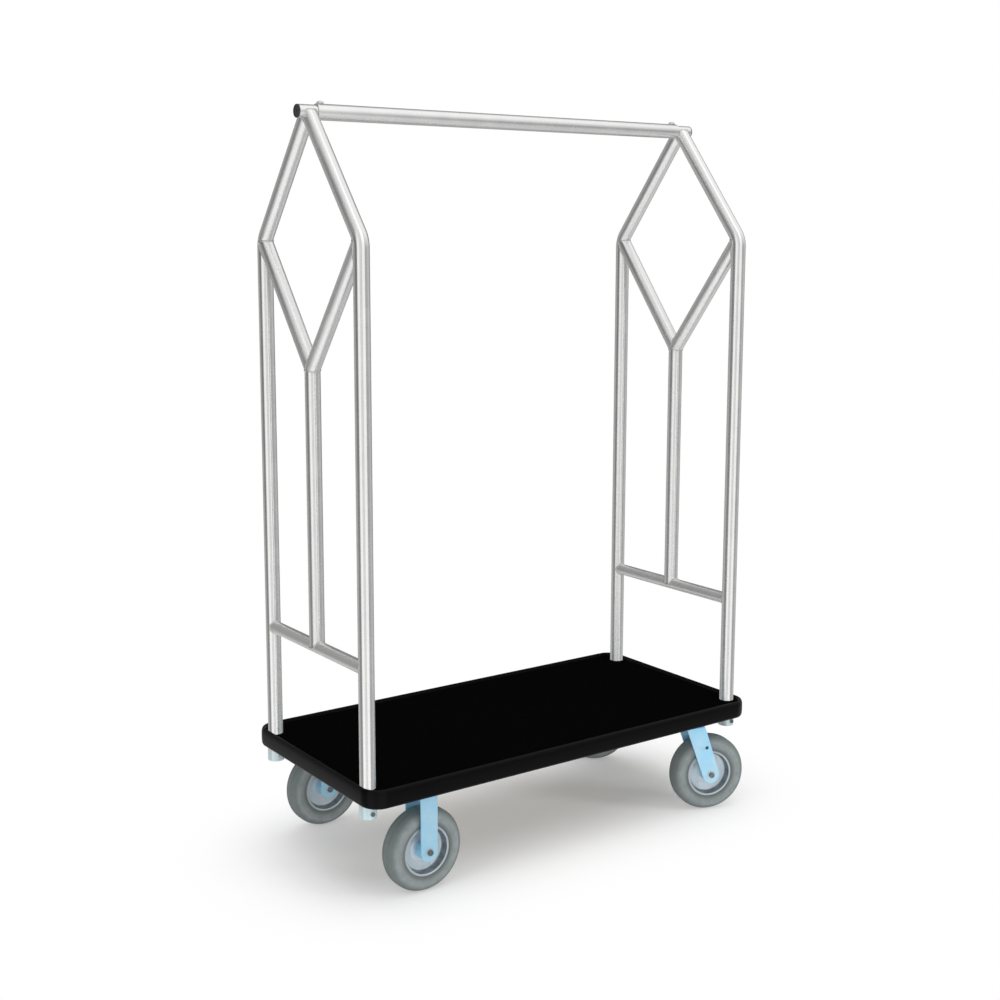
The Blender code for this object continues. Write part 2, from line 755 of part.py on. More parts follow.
def main():
    clear_scene()
    for end in ENDS:
        for name in SIDES:
            make_socket(end, name)
        make_end_frame(end)
    make_bar()
    make_deck()
    for name in SIDES:
        make_rigid_caster(name)
        make_swivel_caster(name)


main()
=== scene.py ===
"""Looks for the hotel luggage cart: smooth tubes with weld beads, carpet, vinyl bumper,
casters with formed forks, moulded tyres and all the fasteners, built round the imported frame."""

import json
import math

import bmesh
import bpy
import numpy as np
from mathutils import Matrix, Vector, noise


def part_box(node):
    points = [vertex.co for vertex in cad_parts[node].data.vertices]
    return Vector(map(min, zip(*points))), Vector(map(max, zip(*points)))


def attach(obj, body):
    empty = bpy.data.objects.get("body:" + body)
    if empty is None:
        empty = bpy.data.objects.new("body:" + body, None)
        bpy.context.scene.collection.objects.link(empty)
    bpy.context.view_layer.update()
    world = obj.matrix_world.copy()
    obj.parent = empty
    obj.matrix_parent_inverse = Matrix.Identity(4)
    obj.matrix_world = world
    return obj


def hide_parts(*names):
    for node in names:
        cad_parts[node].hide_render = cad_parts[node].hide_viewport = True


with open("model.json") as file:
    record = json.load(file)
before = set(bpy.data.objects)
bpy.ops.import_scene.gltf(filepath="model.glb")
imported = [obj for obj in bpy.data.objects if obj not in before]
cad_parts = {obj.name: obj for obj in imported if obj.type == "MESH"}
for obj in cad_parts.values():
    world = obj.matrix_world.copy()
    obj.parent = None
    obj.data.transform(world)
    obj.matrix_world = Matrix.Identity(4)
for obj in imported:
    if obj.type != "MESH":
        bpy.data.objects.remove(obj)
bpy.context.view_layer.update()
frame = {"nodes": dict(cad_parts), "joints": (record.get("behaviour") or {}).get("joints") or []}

FRAME_BODY = "cart_frame"
ENDS = {"left": -1, "right": 1}
SIDES = {"front": -1, "back": 1}

# Points round a tube, a small part, a socket screw, a hexagon, a wheel and a weld bead
TUBE_POINTS = 64
SMALL_POINTS = 32
SCREW_POINTS = 30
HEX_POINTS = 48
WHEEL_POINTS = 128
BEAD_POINTS = 10
# Steps of a bend and a deck corner
BEND_STEPS = 20
CORNER_STEPS = 20

# Stock and joint sizes that a bounding box doesn't show
WALL = 0.0016
RAIL_RADIUS = 0.015875
BAR_WALL = 0.0029
BEND_RADIUS = 0.057
UPPER_DIAMOND = 0.2945
LOWER_DIAMOND = 0.5970
PEAK_TRIM = 0.004
SHEET = 0.004
GAP = 0.0003

# ---------------- node materials

WHITE = (1, 1, 1, 1)


class Graph:
    """Short names for adding nodes to a tree."""

    def __init__(self, tree):
        self.tree = tree

    def feed(self, socket, value):
        """Links the socket to another one, or gives it a plain value."""
        if isinstance(value, bpy.types.NodeSocket):
            self.tree.links.new(value, socket)
        else:
            socket.default_value = value

    def node(self, kind, output, inputs=(), **settings):
        """Adds a node with these inputs and settings, and returns one of its outputs."""
        made = self.tree.nodes.new(f"ShaderNode{kind}")
        for name, value in settings.items():
            setattr(made, name, value)
        for name, value in dict(inputs).items():
            self.feed(made.inputs[name], value)
        return made.outputs[output]

    def remap(self, value, low, high, to_low=0.0, to_high=1.0, smooth=False):
        names = ("Value", "From Min", "From Max", "To Min", "To Max")
        inputs = zip(names, (value, low, high, to_low, to_high))
        style = "SMOOTHSTEP" if smooth else "LINEAR"
        return self.node("MapRange", "Result", inputs, interpolation_type=style)

    def maths(self, operation, *values):
        return self.node("Math", 0, enumerate(values), operation=operation)

    def vector(self, operation, *values):
        output = "Value" if operation in ("LENGTH", "DOT_PRODUCT") else "Vector"
        return self.node("VectorMath", output, enumerate(values), operation=operation)

    def blend(self, *values):
        """Mixes two shaders, by a factor that comes first."""
        return self.node("MixShader", 0, enumerate(values))

    def background(self, strength):
        return self.node("Background", 0, {"Color": WHITE, "Strength": strength})

    def finish(self, output, surface):
        self.feed(self.tree.nodes[output].inputs["Surface"], surface)


class Nodes(Graph):
    """One material and its Principled shader. Patterns are in cycles per metre, one scale or
    one for each axis."""

    def __init__(self, name):
        self.material = bpy.data.materials.new(name)
        self.material.use_nodes = True
        super().__init__(self.material.node_tree)
        self.shader = self.tree.nodes["Principled BSDF"]

    def set(self, **inputs):
        """Sets inputs of the shader, named with _ for each space."""
        for name, value in inputs.items():
            self.feed(self.shader.inputs[name.replace("_", " ")], value)

    def coordinates(self, source="Object"):
        return self.node("TexCoord", source)

    def pattern(self, kind, output, scale, source="Object", **inputs):
        scale = scale if isinstance(scale, tuple) else (scale, scale, scale)
        place = {"Scale": scale, "Vector": self.coordinates(source)}
        inputs |= {"Scale": 1.0, "Vector": self.node("Mapping", "Vector", place)}
        return self.node(kind, output, inputs)

    def noise(self, scale, detail=3.0, rough=0.5, distortion=0.0, source="Object"):
        inputs = {"Detail": detail, "Roughness": rough, "Distortion": distortion}
        return self.pattern("TexNoise", "Fac", scale, source, **inputs)

    def cells(self, scale):
        return self.pattern("TexVoronoi", "Distance", scale)

    def waves(self, scale, distortion):
        return self.pattern("TexWave", "Fac", scale, Distortion=distortion, Detail=3.0)

    def mix(self, factor, *colours):
        """Mixes two colours, each a socket or three numbers."""
        first, second = ((*one, 1) if isinstance(one, tuple) else one for one in colours)
        return self.node("Mix", 2, {"Factor": factor, 6: first, 7: second}, data_type="RGBA")

    def ring_radius(self):
        """A wheel part's distance from its axle, which it keeps as its U coordinate."""
        return self.node("SeparateXYZ", "X", {0: self.coordinates("UV")})

    def surface_pointiness(self):
        """Near 1 on sharp outer edges, near 0.5 elsewhere."""
        return self.node("NewGeometry", "Pointiness")

    def grazing(self):
        """0 where the surface faces the viewer, and 1 where it turns away."""
        return self.node("LayerWeight", "Facing")

    def bump(self, *layers):
        """Stacks (height, distance in metres) layers into the shader's normal."""
        inputs = {"Strength": 1.0}
        for height, distance in layers:
            inputs |= {"Height": height, "Distance": distance}
            inputs["Normal"] = self.node("Bump", "Normal", inputs)
        self.set(Normal=inputs["Normal"])


def stainless_material(m):
    """Satin-polished tube: fine rings around the tube from the polishing belt, which stretch
    reflections along it, and faint smudges from handling."""
    lines = m.noise((25, 5000, 1), 4, source="UV")
    smudges = m.noise(14, 5, 0.6)
    tint = m.mix(m.remap(smudges, 0.3, 0.7), (0.74, 0.745, 0.74), (0.80, 0.80, 0.79))
    satin = m.remap(lines, 0.25, 0.75, 0.23, 0.28)
    m.set(
        Base_Color=m.mix(m.remap(lines, 0.3, 0.7, 0.0, 0.10), tint, (0.55, 0.55, 0.55)),
        Metallic=1.0,
        Roughness=m.maths("ADD", satin, m.remap(smudges, 0.45, 0.8, 0.0, 0.07)),
        Anisotropic=0.92,
        Anisotropic_Rotation=0.25,
        Tangent=m.node("Tangent", 0, direction_type="UV_MAP"),
    )
    m.bump((lines, 0.0000015))


def weld_material(m):
    """Brushed-back weld bead with a trace of straw-coloured heat tint."""
    patches = m.noise(160, 4)
    m.set(
        Base_Color=m.mix(m.remap(patches, 0.4, 0.7), (0.52, 0.50, 0.47), (0.70, 0.69, 0.67)),
        Metallic=1.0,
        Roughness=m.remap(patches, 0.3, 0.7, 0.28, 0.45),
    )
    m.bump((m.noise(1500), 0.00008))


def zinc_material(m, first, second, stained):
    """Bright zinc plating: two slowly shifting tints, a dull stain and a fine grain."""
    slow = m.noise(22)
    drift = m.mix(m.remap(slow, 0.35, 0.65), first, second)
    stain = m.noise(70, 5, 0.65)
    grain = m.noise(900)
    satin = m.remap(grain, 0.3, 0.7, 0.30, 0.38)
    m.set(
        Base_Color=m.mix(m.remap(stain, 0.60, 0.80, 0.0, 0.45), drift, stained),
        Metallic=0.35,
        Roughness=m.maths("ADD", satin, m.remap(stain, 0.5, 0.8, 0, 0.1)),
    )
    m.bump((grain, 0.00003), (slow, 0.0002))


def blue_zinc_material(m):
    zinc_material(m, (0.36, 0.69, 0.92), (0.46, 0.73, 0.89), (0.33, 0.48, 0.59))


def pale_zinc_material(m):
    zinc_material(m, (0.58, 0.74, 0.78), (0.66, 0.74, 0.77), (0.44, 0.50, 0.54))


def fastener_material(m):
    """Zinc-plated steel of bolts and bearings, scratched where a spanner went."""
    scratches = m.noise((300, 2600, 900), 4)
    grime = m.noise(240, 4, 0.6)
    plated = m.mix(m.remap(scratches, 0.45, 0.75), (0.58, 0.60, 0.61), (0.76, 0.77, 0.77))
    m.set(
        Base_Color=m.mix(m.remap(grime, 0.55, 0.8, 0.0, 0.5), plated, (0.26, 0.27, 0.275)),
        Metallic=0.5,
        Roughness=m.remap(grime, 0.3, 0.8, 0.26, 0.5),
    )
    m.bump((scratches, 0.00004))


def dark_bolt_material(m):
    """Black-oxide hex bolts of the post sockets and the axles."""
    wear_and_shade = m.noise(350, 5, 0.6)
    m.set(
        Base_Color=m.mix(m.remap(wear_and_shade, 0.5, 0.75), (0.14, 0.18, 0.20), (0.30, 0.35, 0.38)),
        Metallic=0.9,
        Roughness=m.remap(wear_and_shade, 0.3, 0.8, 0.33, 0.5),
    )
    m.bump((wear_and_shade, 0.00005))


def rim_material(m):
    """Silver lacquer on pressed steel, slightly blue, dusty in the dish. The well's wall takes
    painted shade, and the rolled flange a painted darker tone that stands in for shade."""
    flake = m.cells(2600)
    dust = m.noise(60, 5, 0.6)
    lacquer = m.mix(m.remap(flake, 0.1, 0.8), (0.60, 0.70, 0.76), (0.70, 0.78, 0.83))
    dusty = m.mix(m.remap(dust, 0.52, 0.78, 0.0, 0.5), lacquer, (0.50, 0.50, 0.51))
    radius = m.ring_radius()
    # Painted shade: the well's wall between the disc and the flange is painted near black, with less
    # metal and no coat, in place of the shade inside the recess. The dust noise only makes it uneven.
    past_disc = m.remap(radius, 0.0520, 0.0545, smooth=True)
    before_flange = m.remap(radius, 0.0574, 0.0588, 1, 0, smooth=True)
    well = m.maths("MULTIPLY", past_disc, before_flange)
    painted_well_shade = m.maths("MULTIPLY", well, m.remap(dust, 0.3, 0.7, 0.70, 0.92))
    # Painted shade: the rolled flange, past radius 0.0588, is painted a darker grey so that it reads
    # dimmer, as if it caught less light.
    wear_and_shade = m.mix(m.remap(radius, 0.0588, 0.0600, 0, 0.75), dusty, (0.34, 0.37, 0.38))
    m.set(
        Base_Color=m.mix(painted_well_shade, wear_and_shade, (0.045, 0.052, 0.060)),
        Metallic=m.remap(well, 0, 1, 0.35, 0.0),
        Roughness=m.remap(dust, 0.3, 0.8, 0.38, 0.60),
        Coat_Weight=m.remap(well, 0, 1, 0.2, 0.0),
        Coat_Roughness=0.25,
    )
    m.bump((flake, 0.00002), (m.noise(420, 2), 0.00006))


def tyre_material(m):
    """Grey non-marking rubber: greenish grey, palest halfway up the sidewall where it bulges,
    with painted shade by the rim, towards the tread, on faces turned away and in the hollows."""
    cloud = m.noise(45, 6, 0.6)
    grey = m.mix(m.remap(cloud, 0.35, 0.65), (0.245, 0.285, 0.284), (0.325, 0.356, 0.360))
    radius = m.ring_radius()
    # Painted shade: darker towards the tread and by the rim.
    tread = m.remap(radius, 0.086, 0.100, 0.0, 0.70, smooth=True)
    by_rim = m.remap(radius, 0.0660, 0.0770, 0.75, 0.0, smooth=True)
    painted_ring_shade = m.mix(m.maths("MAXIMUM", tread, by_rim), grey, (0.120, 0.142, 0.142))
    # Painted shade: darker where the surface turns away from the viewer.
    turned = m.mix(m.remap(m.grazing(), 0.45, 0.95, 0.0, 0.6), painted_ring_shade, (0.11, 0.13, 0.125))
    # Painted shade in the hollows, where the surface is least pointy.
    raised = m.remap(m.surface_pointiness(), 0.46, 0.51)
    m.set(
        Base_Color=m.mix(raised, (0.13, 0.15, 0.145), turned),
        Roughness=m.remap(cloud, 0.3, 0.7, 0.62, 0.8),
        Specular_IOR_Level=0.35,
    )
    m.bump((m.noise(1400), 0.00010), (m.cells(330), 0.00005))


def bumper_material(m):
    """Extruded black vinyl: semi-gloss, drawn lengthways, with grey scuffs."""
    drawn = m.noise((6, 2600, 1), source="UV")
    scuffs = m.noise((10, 260, 1), 6, 0.65, 0.6, "UV")
    scuffed = m.remap(scuffs, 0.60, 0.74, 0.0, 0.4)
    m.set(
        Base_Color=m.mix(scuffed, (0.0015, 0.0015, 0.0017), (0.010, 0.010, 0.011)),
        Roughness=m.maths("ADD", m.remap(drawn, 0.3, 0.7, 0.26, 0.36), scuffed),
        Specular_IOR_Level=0.09,
    )
    m.bump((drawn, 0.00004), (m.noise(700, 2), 0.00005))


def carpet_material(m):
    """Black cut pile: dark tufts with a faint nap that leans one way or the other."""
    fibre = m.noise(1900, 4, 0.7)
    nap = m.noise((5, 9, 5), 4, 0.55)
    pile = m.mix(m.remap(fibre, 0.3, 0.75), (0.0005, 0.0005, 0.0006), (0.0042, 0.0042, 0.0047))
    m.set(
        Base_Color=m.mix(m.remap(nap, 0.45, 0.7, 0.0, 0.5), pile, (0.0020, 0.0020, 0.0023)),
        Roughness=1.0,
        Specular_IOR_Level=0.0,
    )
    m.bump((m.cells(520), 0.0009), (fibre, 0.0005))


def plastic_material(m):
    """Black moulded plastic, rubbed grey on its edges."""
    mould = m.noise(900)
    rubbed = m.remap(m.surface_pointiness(), 0.52, 0.62, 0.0, 0.5)
    m.set(
        Base_Color=m.mix(rubbed, (0.012, 0.013, 0.013), (0.06, 0.06, 0.06)),
        Roughness=m.remap(mould, 0.3, 0.7, 0.40, 0.52),
    )
    m.bump((mould, 0.00006))


def nylon_material(m):
    """Blue-white nylon of the lock nuts' collars."""
    m.set(
        Base_Color=m.mix(m.noise(500), (0.50, 0.60, 0.72), (0.62, 0.68, 0.75)),
        Roughness=0.45,
        Subsurface_Weight=0.1,
        Subsurface_Scale=0.002,
    )


def plywood_material(m):
    """Pale birch ply: long grain, and growth rings that wander along the board."""
    grain = m.noise((6, 190, 190), 6, 0.6, 0.4)
    rings = m.waves((0.8, 7.0, 7.0), 9.0)
    base = m.mix(m.remap(grain, 0.3, 0.7), (0.42, 0.39, 0.355), (0.54, 0.51, 0.465))
    m.set(
        Base_Color=m.mix(m.remap(rings, 0.5, 1.0, 0.0, 0.35), base, (0.35, 0.315, 0.27)),
        Roughness=m.remap(grain, 0.3, 0.7, 0.55, 0.72),
    )
    m.bump((grain, 0.00025))


def material(name, fill):
    nodes = Nodes(name)
    fill(nodes)
    return nodes.material


LOOKS = {
    "stainless_tube": stainless_material,
    "weld_bead": weld_material,
    "zinc_plate": blue_zinc_material,
    "pale_zinc": pale_zinc_material,
    "bright_fasteners": fastener_material,
    "dark_fasteners": dark_bolt_material,
    "wheel_rim": rim_material,
    "tyre_rubber": tyre_material,
    "bumper_vinyl": bumper_material,
    "carpet": carpet_material,
    "black_plastic": plastic_material,
    "lock_nut_nylon": nylon_material,
    "plywood": plywood_material,
}
MATERIALS = {name: material(name, fill) for name, fill in LOOKS.items()}

# ---------------- mesh tools

# Edges sharper than these show as sharp, or take a bevel. A drill runs this far past its piece.
SHARP_ANGLE = math.radians(38)
BEVEL_ANGLE = math.radians(40)
DRILL_PAST = 0.01


def new_object(name, data):
    made = bpy.data.objects.new(name, data)
    bpy.context.scene.collection.objects.link(made)
    return made


def new_mesh(name, shape, place=None):
    points, faces = shape
    mesh = bpy.data.meshes.new(name)
    mesh.from_pydata([tuple(point) for point in points], [], faces)
    if place:
        mesh.transform(place)
    return mesh


def piece(name, shape, look, body, stands_for=(), place=None, uvs=None):
    """A finished object of the shape (points, faces), riding on the body."""
    mesh = new_mesh(name, shape, place)
    if uvs:
        layer = mesh.uv_layers.new(name="UVMap")
        for loop in mesh.loops:
            layer.data[loop.index].uv = uvs[loop.vertex_index]
    outward = bmesh.new()
    outward.from_mesh(mesh)
    bmesh.ops.recalc_face_normals(outward, faces=outward.faces)
    if outward.calc_volume(signed=True) < 0:
        bmesh.ops.reverse_faces(outward, faces=outward.faces)
    outward.to_mesh(mesh)
    outward.free()
    made = new_object(name, mesh)
    mesh.shade_smooth()
    mesh.set_sharp_from_angle(angle=SHARP_ANGLE)
    mesh.materials.append(MATERIALS[look])
    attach(made, body)
    if stands_for:
        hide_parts(*stands_for)
    return made


def soften(made, width):
    """Bevels the sharp edges."""
    step = made.modifiers.new("soft_edges", "BEVEL")
    step.width = width
    step.segments = 3
    step.limit_method = "ANGLE"
    step.angle_limit = BEVEL_ANGLE
    step.harden_normals = False


def drill(target, radius, low, high, place):
    """Cuts a round hole through the target, which lies between low and high along the
    place's Z, and applies the cut."""
    low -= DRILL_PAST
    high += DRILL_PAST
    shape = revolved([(0, low), (radius, low), (radius, high), (0, high)], TUBE_POINTS)
    cutter = new_object("drill", new_mesh("drill", shape, place))
    step = target.modifiers.new("hole", "BOOLEAN")
    step.operation = "DIFFERENCE"
    step.object = cutter
    step.solver = "EXACT"
    graph = bpy.context.evaluated_depsgraph_get()
    drilled = bpy.data.meshes.new_from_object(target.evaluated_get(graph))
    target.modifiers.remove(step)
    target.data = drilled
    bpy.data.objects.remove(cutter, do_unlink=True)


def skin(rings, closed=False):
    """Joins rings of points with faces. It closes on its first ring or is capped at both
    ends, and a ring of one point is a pole."""
    count = max(len(line) for line in rings)
    points = []
    rows = []
    for line in rings:
        step = min(1, len(line) - 1)
        rows.append([len(points) + step * index for index in range(count)])
        points.extend(line)
    faces = [] if closed else [row for row in (rows[0], rows[-1]) if row[0] != row[1]]
    for lower, upper in zip(rows, rows[1:] + rows[:1] if closed else rows[1:]):
        for index in range(count):
            after = (index + 1) % count
            corners = (lower[index], lower[after], upper[after], upper[index])
            faces.append(tuple(dict.fromkeys(corners)))
    return points, faces


def turn_angles(count):
    return [2 * math.pi * index / count for index in range(count)]


def revolved(profile, count, closed=False):
    """Turns (radius, height) points about Z. An end on the axis becomes a pole."""
    rings = []
    for radius, height in profile:
        angles = turn_angles(count if radius else 1)
        rings.append([(radius * math.cos(a), radius * math.sin(a), height) for a in angles])
    return skin(rings, closed)


def rounded_outline(corners, steps=5):
    """A closed outline from (x, y, corner radius) points."""
    outline = []
    for index, (x, y, size) in enumerate(corners):
        here = Vector((x, y))
        back = (Vector(corners[index - 1][:2]) - here).normalized()
        ahead = (Vector(corners[(index + 1) % len(corners)][:2]) - here).normalized()
        half = back.angle(ahead) / 2
        if size == 0 or half > math.radians(89):
            outline.append((x, y))
            continue
        setback = size / math.tan(half)
        centre = here + (back + ahead).normalized() * (size / math.sin(half))
        first = here + back * setback - centre
        sweep = first.angle_signed(here + ahead * setback - centre)
        for step in range(steps + 1):
            spot = centre + Matrix.Rotation(-sweep * step / steps, 2) @ first
            outline.append((spot.x, spot.y))
    return outline


def rounded_rectangle(low, high, corner, steps):
    spots = ((low[0], low[1]), (high[0], low[1]), (high[0], high[1]), (low[0], high[1]))
    return rounded_outline([(x, y, corner) for x, y in spots], steps)


def ring(inner, outer, low, high, edge=0.0002, count=SMALL_POINTS):
    """A washer or a sleeve with slightly rounded edges."""
    profile = rounded_rectangle((inner, low), (outer, high), edge, 4)
    return revolved(profile, count, closed=True)


def plate(low, high, corner, bottom, top):
    """A flat plate with rounded corners."""
    outline = rounded_rectangle(low, high, corner, 8)
    return skin([[(x, y, z) for x, y in outline] for z in (bottom, top)])


def pointing(axis, location=(0, 0, 0)):
    """Local Z along the axis, at the location."""
    spin = Vector((0, 0, 1)).rotation_difference(Vector(axis)).to_matrix().to_4x4()
    return Matrix.Translation(location) @ spin


def middle(node):
    low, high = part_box(node)
    return (low + high) / 2


def quarter_turn(steps, first=1):
    """Angles from 0 to 90 degrees in equal steps, from the first step on."""
    return [math.pi / 2 * step / steps for step in range(first, steps + 1)]


BAR_AXIS_Z = middle("hanger_bar").z
TUBE_RADIUS = (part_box("hanger_bar")[1].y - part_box("hanger_bar")[0].y) / 2


def post_y(end, name):
    """A post's middle across the cart, below its bend."""
    low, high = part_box(f"{end}_{name}_post")
    return SIDES[name] * (max(abs(low.y), abs(high.y)) - TUBE_RADIUS)


def post_spot(end, name):
    return Vector((middle(f"{end}_{name}_post").x, post_y(end, name), 0))


# ---------------- tubes and welds

BEAD_RADIUS = 0.0019
SEAM_RADIUS = 0.0013
BEAD_RIPPLE = 0.10
TINY = 1e-9
# How far along a tube its cut end may lie from where the path ends
SHORT_REACH = 0.06
LONG_REACH = 0.12
REACH_STEPS = 801
# The end frames are flat, so this direction is square to every tube in them.
SIDEWAYS = np.array((1.0, 0.0, 0.0))


def distances(path, points):
    """The least distance from each point to a path of straight stretches."""
    best = np.full(len(points), np.inf)
    for start, end in zip(path, path[1:]):
        along = end - start
        share = np.clip((points - start) @ along / (along @ along), 0, 1)
        gap = np.linalg.norm(points - start - share[:, None] * along, axis=1)
        best = np.minimum(best, gap)
    return best


def against(path, radius):
    """A cut that ends a tube where it meets the outside of another tube."""
    return lambda points: distances(path, points) - radius


def up_to(point, normal):
    """A cut that ends a tube at a plane. The normal points to the side that is cut away."""
    return lambda points: (np.array(point) - points) @ np.array(normal)


def nearest_cut(*cuts):
    return lambda points: np.min([cut(points) for cut in cuts], axis=0)


def end_ring(points, direction, cut, reach):
    """Moves each point of a ring back or forth along the tube to where it meets the cut."""
    steps = np.linspace(-reach, reach, REACH_STEPS)
    moved = []
    for point in points:
        depth = cut(point + steps[:, None] * direction)
        inside = np.nonzero(depth < 0)[0]
        if len(inside) and inside[0] > 0:
            after = inside[0]
            before = after - 1
            share = depth[before] / (depth[before] - depth[after])
            spot = steps[before] + share * (steps[after] - steps[before])
        else:
            spot = steps[int(np.argmin(depth))]
        moved.append(point + spot * direction)
    return np.array(moved)


def tube_uvs(radius, lengths):
    """The way round the tube, folded so that it has no seam, and the way along it."""
    half = TUBE_POINTS / 2
    around = [math.pi * radius * (abs(index - half) / half) for index in range(TUBE_POINTS)]
    return [(spot, length) for length in lengths for spot in around]


def tube(node, path, radius, start_cut=None, end_cut=None, reach=SHORT_REACH):
    """The tube that stands for the node. A cut shapes an end to fit its neighbour. Returns
    the outer end rings, each with its radial directions, for the weld beads."""
    last = len(path) - 1
    angles = 2 * math.pi * np.arange(TUBE_POINTS) / TUBE_POINTS
    outer_rings = []
    inner_rings = []
    ends = []
    for index, centre in enumerate(path):
        tangent = path[min(index + 1, last)] - path[max(index - 1, 0)]
        tangent /= np.linalg.norm(tangent)
        across = np.cross(SIDEWAYS, tangent)
        radial = np.cos(angles)[:, None] * SIDEWAYS + np.sin(angles)[:, None] * across
        outer = centre + radius * radial
        inner = centre + (radius - WALL) * radial
        cut = {0: start_cut, last: end_cut}.get(index)
        if cut:
            direction = tangent if index else -tangent
            outer = end_ring(outer, direction, cut, reach)
            inner = end_ring(inner, direction, cut, reach)
        outer_rings.append(outer)
        inner_rings.append(inner)
        if index in (0, last):
            ends.append((outer, radial))
    steps = [np.linalg.norm(after - before) for before, after in zip(path, path[1:])]
    lengths = [0.0, *np.cumsum(steps).tolist()]
    shape = skin(outer_rings + inner_rings[::-1], closed=True)
    uvs = tube_uvs(radius, lengths + lengths[::-1])
    piece(f"{node}_tube", shape, "stainless_tube", FRAME_BODY, [node], uvs=uvs)
    return ends


def bead(name, curve, radial, radius=BEAD_RADIUS, look="weld_bead"):
    """A rippled weld bead along the closed curve."""
    rings = []
    for index, spot in enumerate(curve):
        tangent = curve[(index + 1) % len(curve)] - curve[index - 1]
        tangent /= max(np.linalg.norm(tangent), TINY)
        outward = radial[index] - (radial[index] @ tangent) * tangent
        outward /= max(np.linalg.norm(outward), TINY)
        across = np.cross(tangent, outward)
        size = radius * (1 + BEAD_RIPPLE * math.sin(2 * math.pi / 3 * index))
        rings.append([
            spot + size * (math.cos(angle) * outward + math.sin(angle) * across)
            for angle in turn_angles(BEAD_POINTS)
        ])
    piece(name, skin(rings, closed=True), look, FRAME_BODY)


def bent_path(start, corner, end):
    """Straight, arc, straight, with the arc tangent to both legs."""
    start, corner, end = Vector(start), Vector(corner), Vector(end)
    incoming = (corner - start).normalized()
    outgoing = (end - corner).normalized()
    turn = incoming.angle(outgoing)
    inward = (outgoing - incoming * incoming.dot(outgoing)).normalized()
    centre = corner - incoming * (BEND_RADIUS * math.tan(turn / 2)) + inward * BEND_RADIUS
    arc = []
    for step in range(BEND_STEPS + 1):
        angle = turn * step / BEND_STEPS
        arc.append(centre + BEND_RADIUS * (math.sin(angle) * incoming - math.cos(angle) * inward))
    return [np.array(point, float) for point in (start, *arc, end)]


def make_end_frame(end):
    """Two bent posts, the V between them, the lower rail and the centre upright."""
    x, _, rail_z = middle(f"{end}_lower_rail")
    vertex = np.array((x, 0, BAR_AXIS_Z - LOWER_DIAMOND))
    peak = (x, 0, BAR_AXIS_Z)
    bar_line = [np.array(peak) + offset * SIDEWAYS for offset in (-0.1, 0.1)]
    trim = up_to((x, 0, BAR_AXIS_Z + PEAK_TRIM), (0, 0, 1))
    posts = []
    arms = []
    for name, side in SIDES.items():
        y = post_y(end, name)
        foot_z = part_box(f"{end}_{name}_post")[0].z
        elbow = np.array((x, y, BAR_AXIS_Z - UPPER_DIAMOND))
        post = bent_path((x, y, foot_z), elbow, peak)
        posts.append(post)
        arms.append((elbow, vertex))
        centre_plane = up_to((x, 0, 0), (0, -side, 0))
        top = nearest_cut(centre_plane, trim, against(bar_line, RAIL_RADIUS))
        node = f"{end}_{name}_post"
        ends = tube(node, post, TUBE_RADIUS, None, top)
        bead(f"{node}_peak_weld", *ends[1], SEAM_RADIUS)
        node = f"{end}_{name}_v_arm"
        on_post = against(post, TUBE_RADIUS)
        ends = tube(node, arms[-1], TUBE_RADIUS, on_post, centre_plane, LONG_REACH)
        bead(f"{node}_post_weld", *ends[0])
        if side < 0:
            bead(f"{end}_v_weld", *ends[1], SEAM_RADIUS)
    rail = [np.array((x, post[0][1], rail_z)) for post in posts]
    node = f"{end}_lower_rail"
    ends = tube(node, rail, RAIL_RADIUS, *(against(post, TUBE_RADIUS) for post in posts))
    bead(f"{node}_front_weld", *ends[0])
    bead(f"{node}_back_weld", *ends[1])
    upright = (np.array((x, 0, rail_z)), vertex)
    both_arms = nearest_cut(*(against(arm, TUBE_RADIUS) for arm in arms))
    on_rail = against(rail, RAIL_RADIUS)
    node = f"{end}_centre_upright"
    ends = tube(node, upright, TUBE_RADIUS, on_rail, both_arms, LONG_REACH)
    bead(f"{node}_rail_weld", *ends[0])
    bead(f"{node}_top_weld", *ends[1])


# ---------------- hanger bar

# Push-in plug: lip thickness, and (in from the rim, down from the face) from lip to dish
PLUG_LIP = 0.0030
PLUG_FACE = ((0, 0.0014), (0.0004, 0.0006), (0.0014, 0.0001), (0.0030, 0), (0.0042, 0.0006))
# Its moulding pip: (radius, down from the face)
PLUG_PIP = ((0.0024, 0.0008), (0.0016, 0.0003), (0, 0.0002))
# Rounded rims of the bar and of its stubs
BAR_EDGE = 0.0007
STUB_EDGE = 0.0003
# Button-head screw: shank radius, washer thickness, height of the skirt under the dome
SCREW_SHANK = 0.004
SCREW_WASHER = 0.0010
SCREW_SKIRT = 0.0005
# Its hex recess: half across flats and depth. Points within the reach and above the floor,
# measured down from the dome, belong to it.
RECESS_HALF = 0.0027
RECESS_DEPTH = 0.0028
RECESS_REACH = 0.0032
RECESS_FLOOR = 0.0035


def turned_tube(node, radius, wall, low, high, edge, place):
    """A straight tube with rounded ends, along the place's Z."""
    profile = rounded_rectangle((radius - wall, low), (radius, high), edge, 4)
    shape = revolved(profile, TUBE_POINTS, closed=True)
    uvs = tube_uvs(radius, [height for _, height in profile])
    piece(f"{node}_tube", shape, "stainless_tube", FRAME_BODY, [node], place, uvs)


def reach_from_middle(node):
    """The least and the greatest distance of the node from the cart's middle, along X."""
    low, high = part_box(node)
    return sorted((abs(low.x), abs(high.x)))


def make_bar():
    low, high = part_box("hanger_bar")
    place = pointing((1, 0, 0), (0, 0, BAR_AXIS_Z))
    turned_tube("hanger_bar", TUBE_RADIUS, BAR_WALL, low.x, high.x, BAR_EDGE, place)
    for end, sign in ENDS.items():
        node = f"{end}_bar_stub"
        near, far = reach_from_middle(node)
        place = pointing((sign, 0, 0), (0, 0, BAR_AXIS_Z))
        turned_tube(node, RAIL_RADIUS, WALL, near, far, STUB_EDGE, place)
        make_plug(f"{end}_bar_plug", place)
        make_dome_screw(f"{end}_bar_bolt")


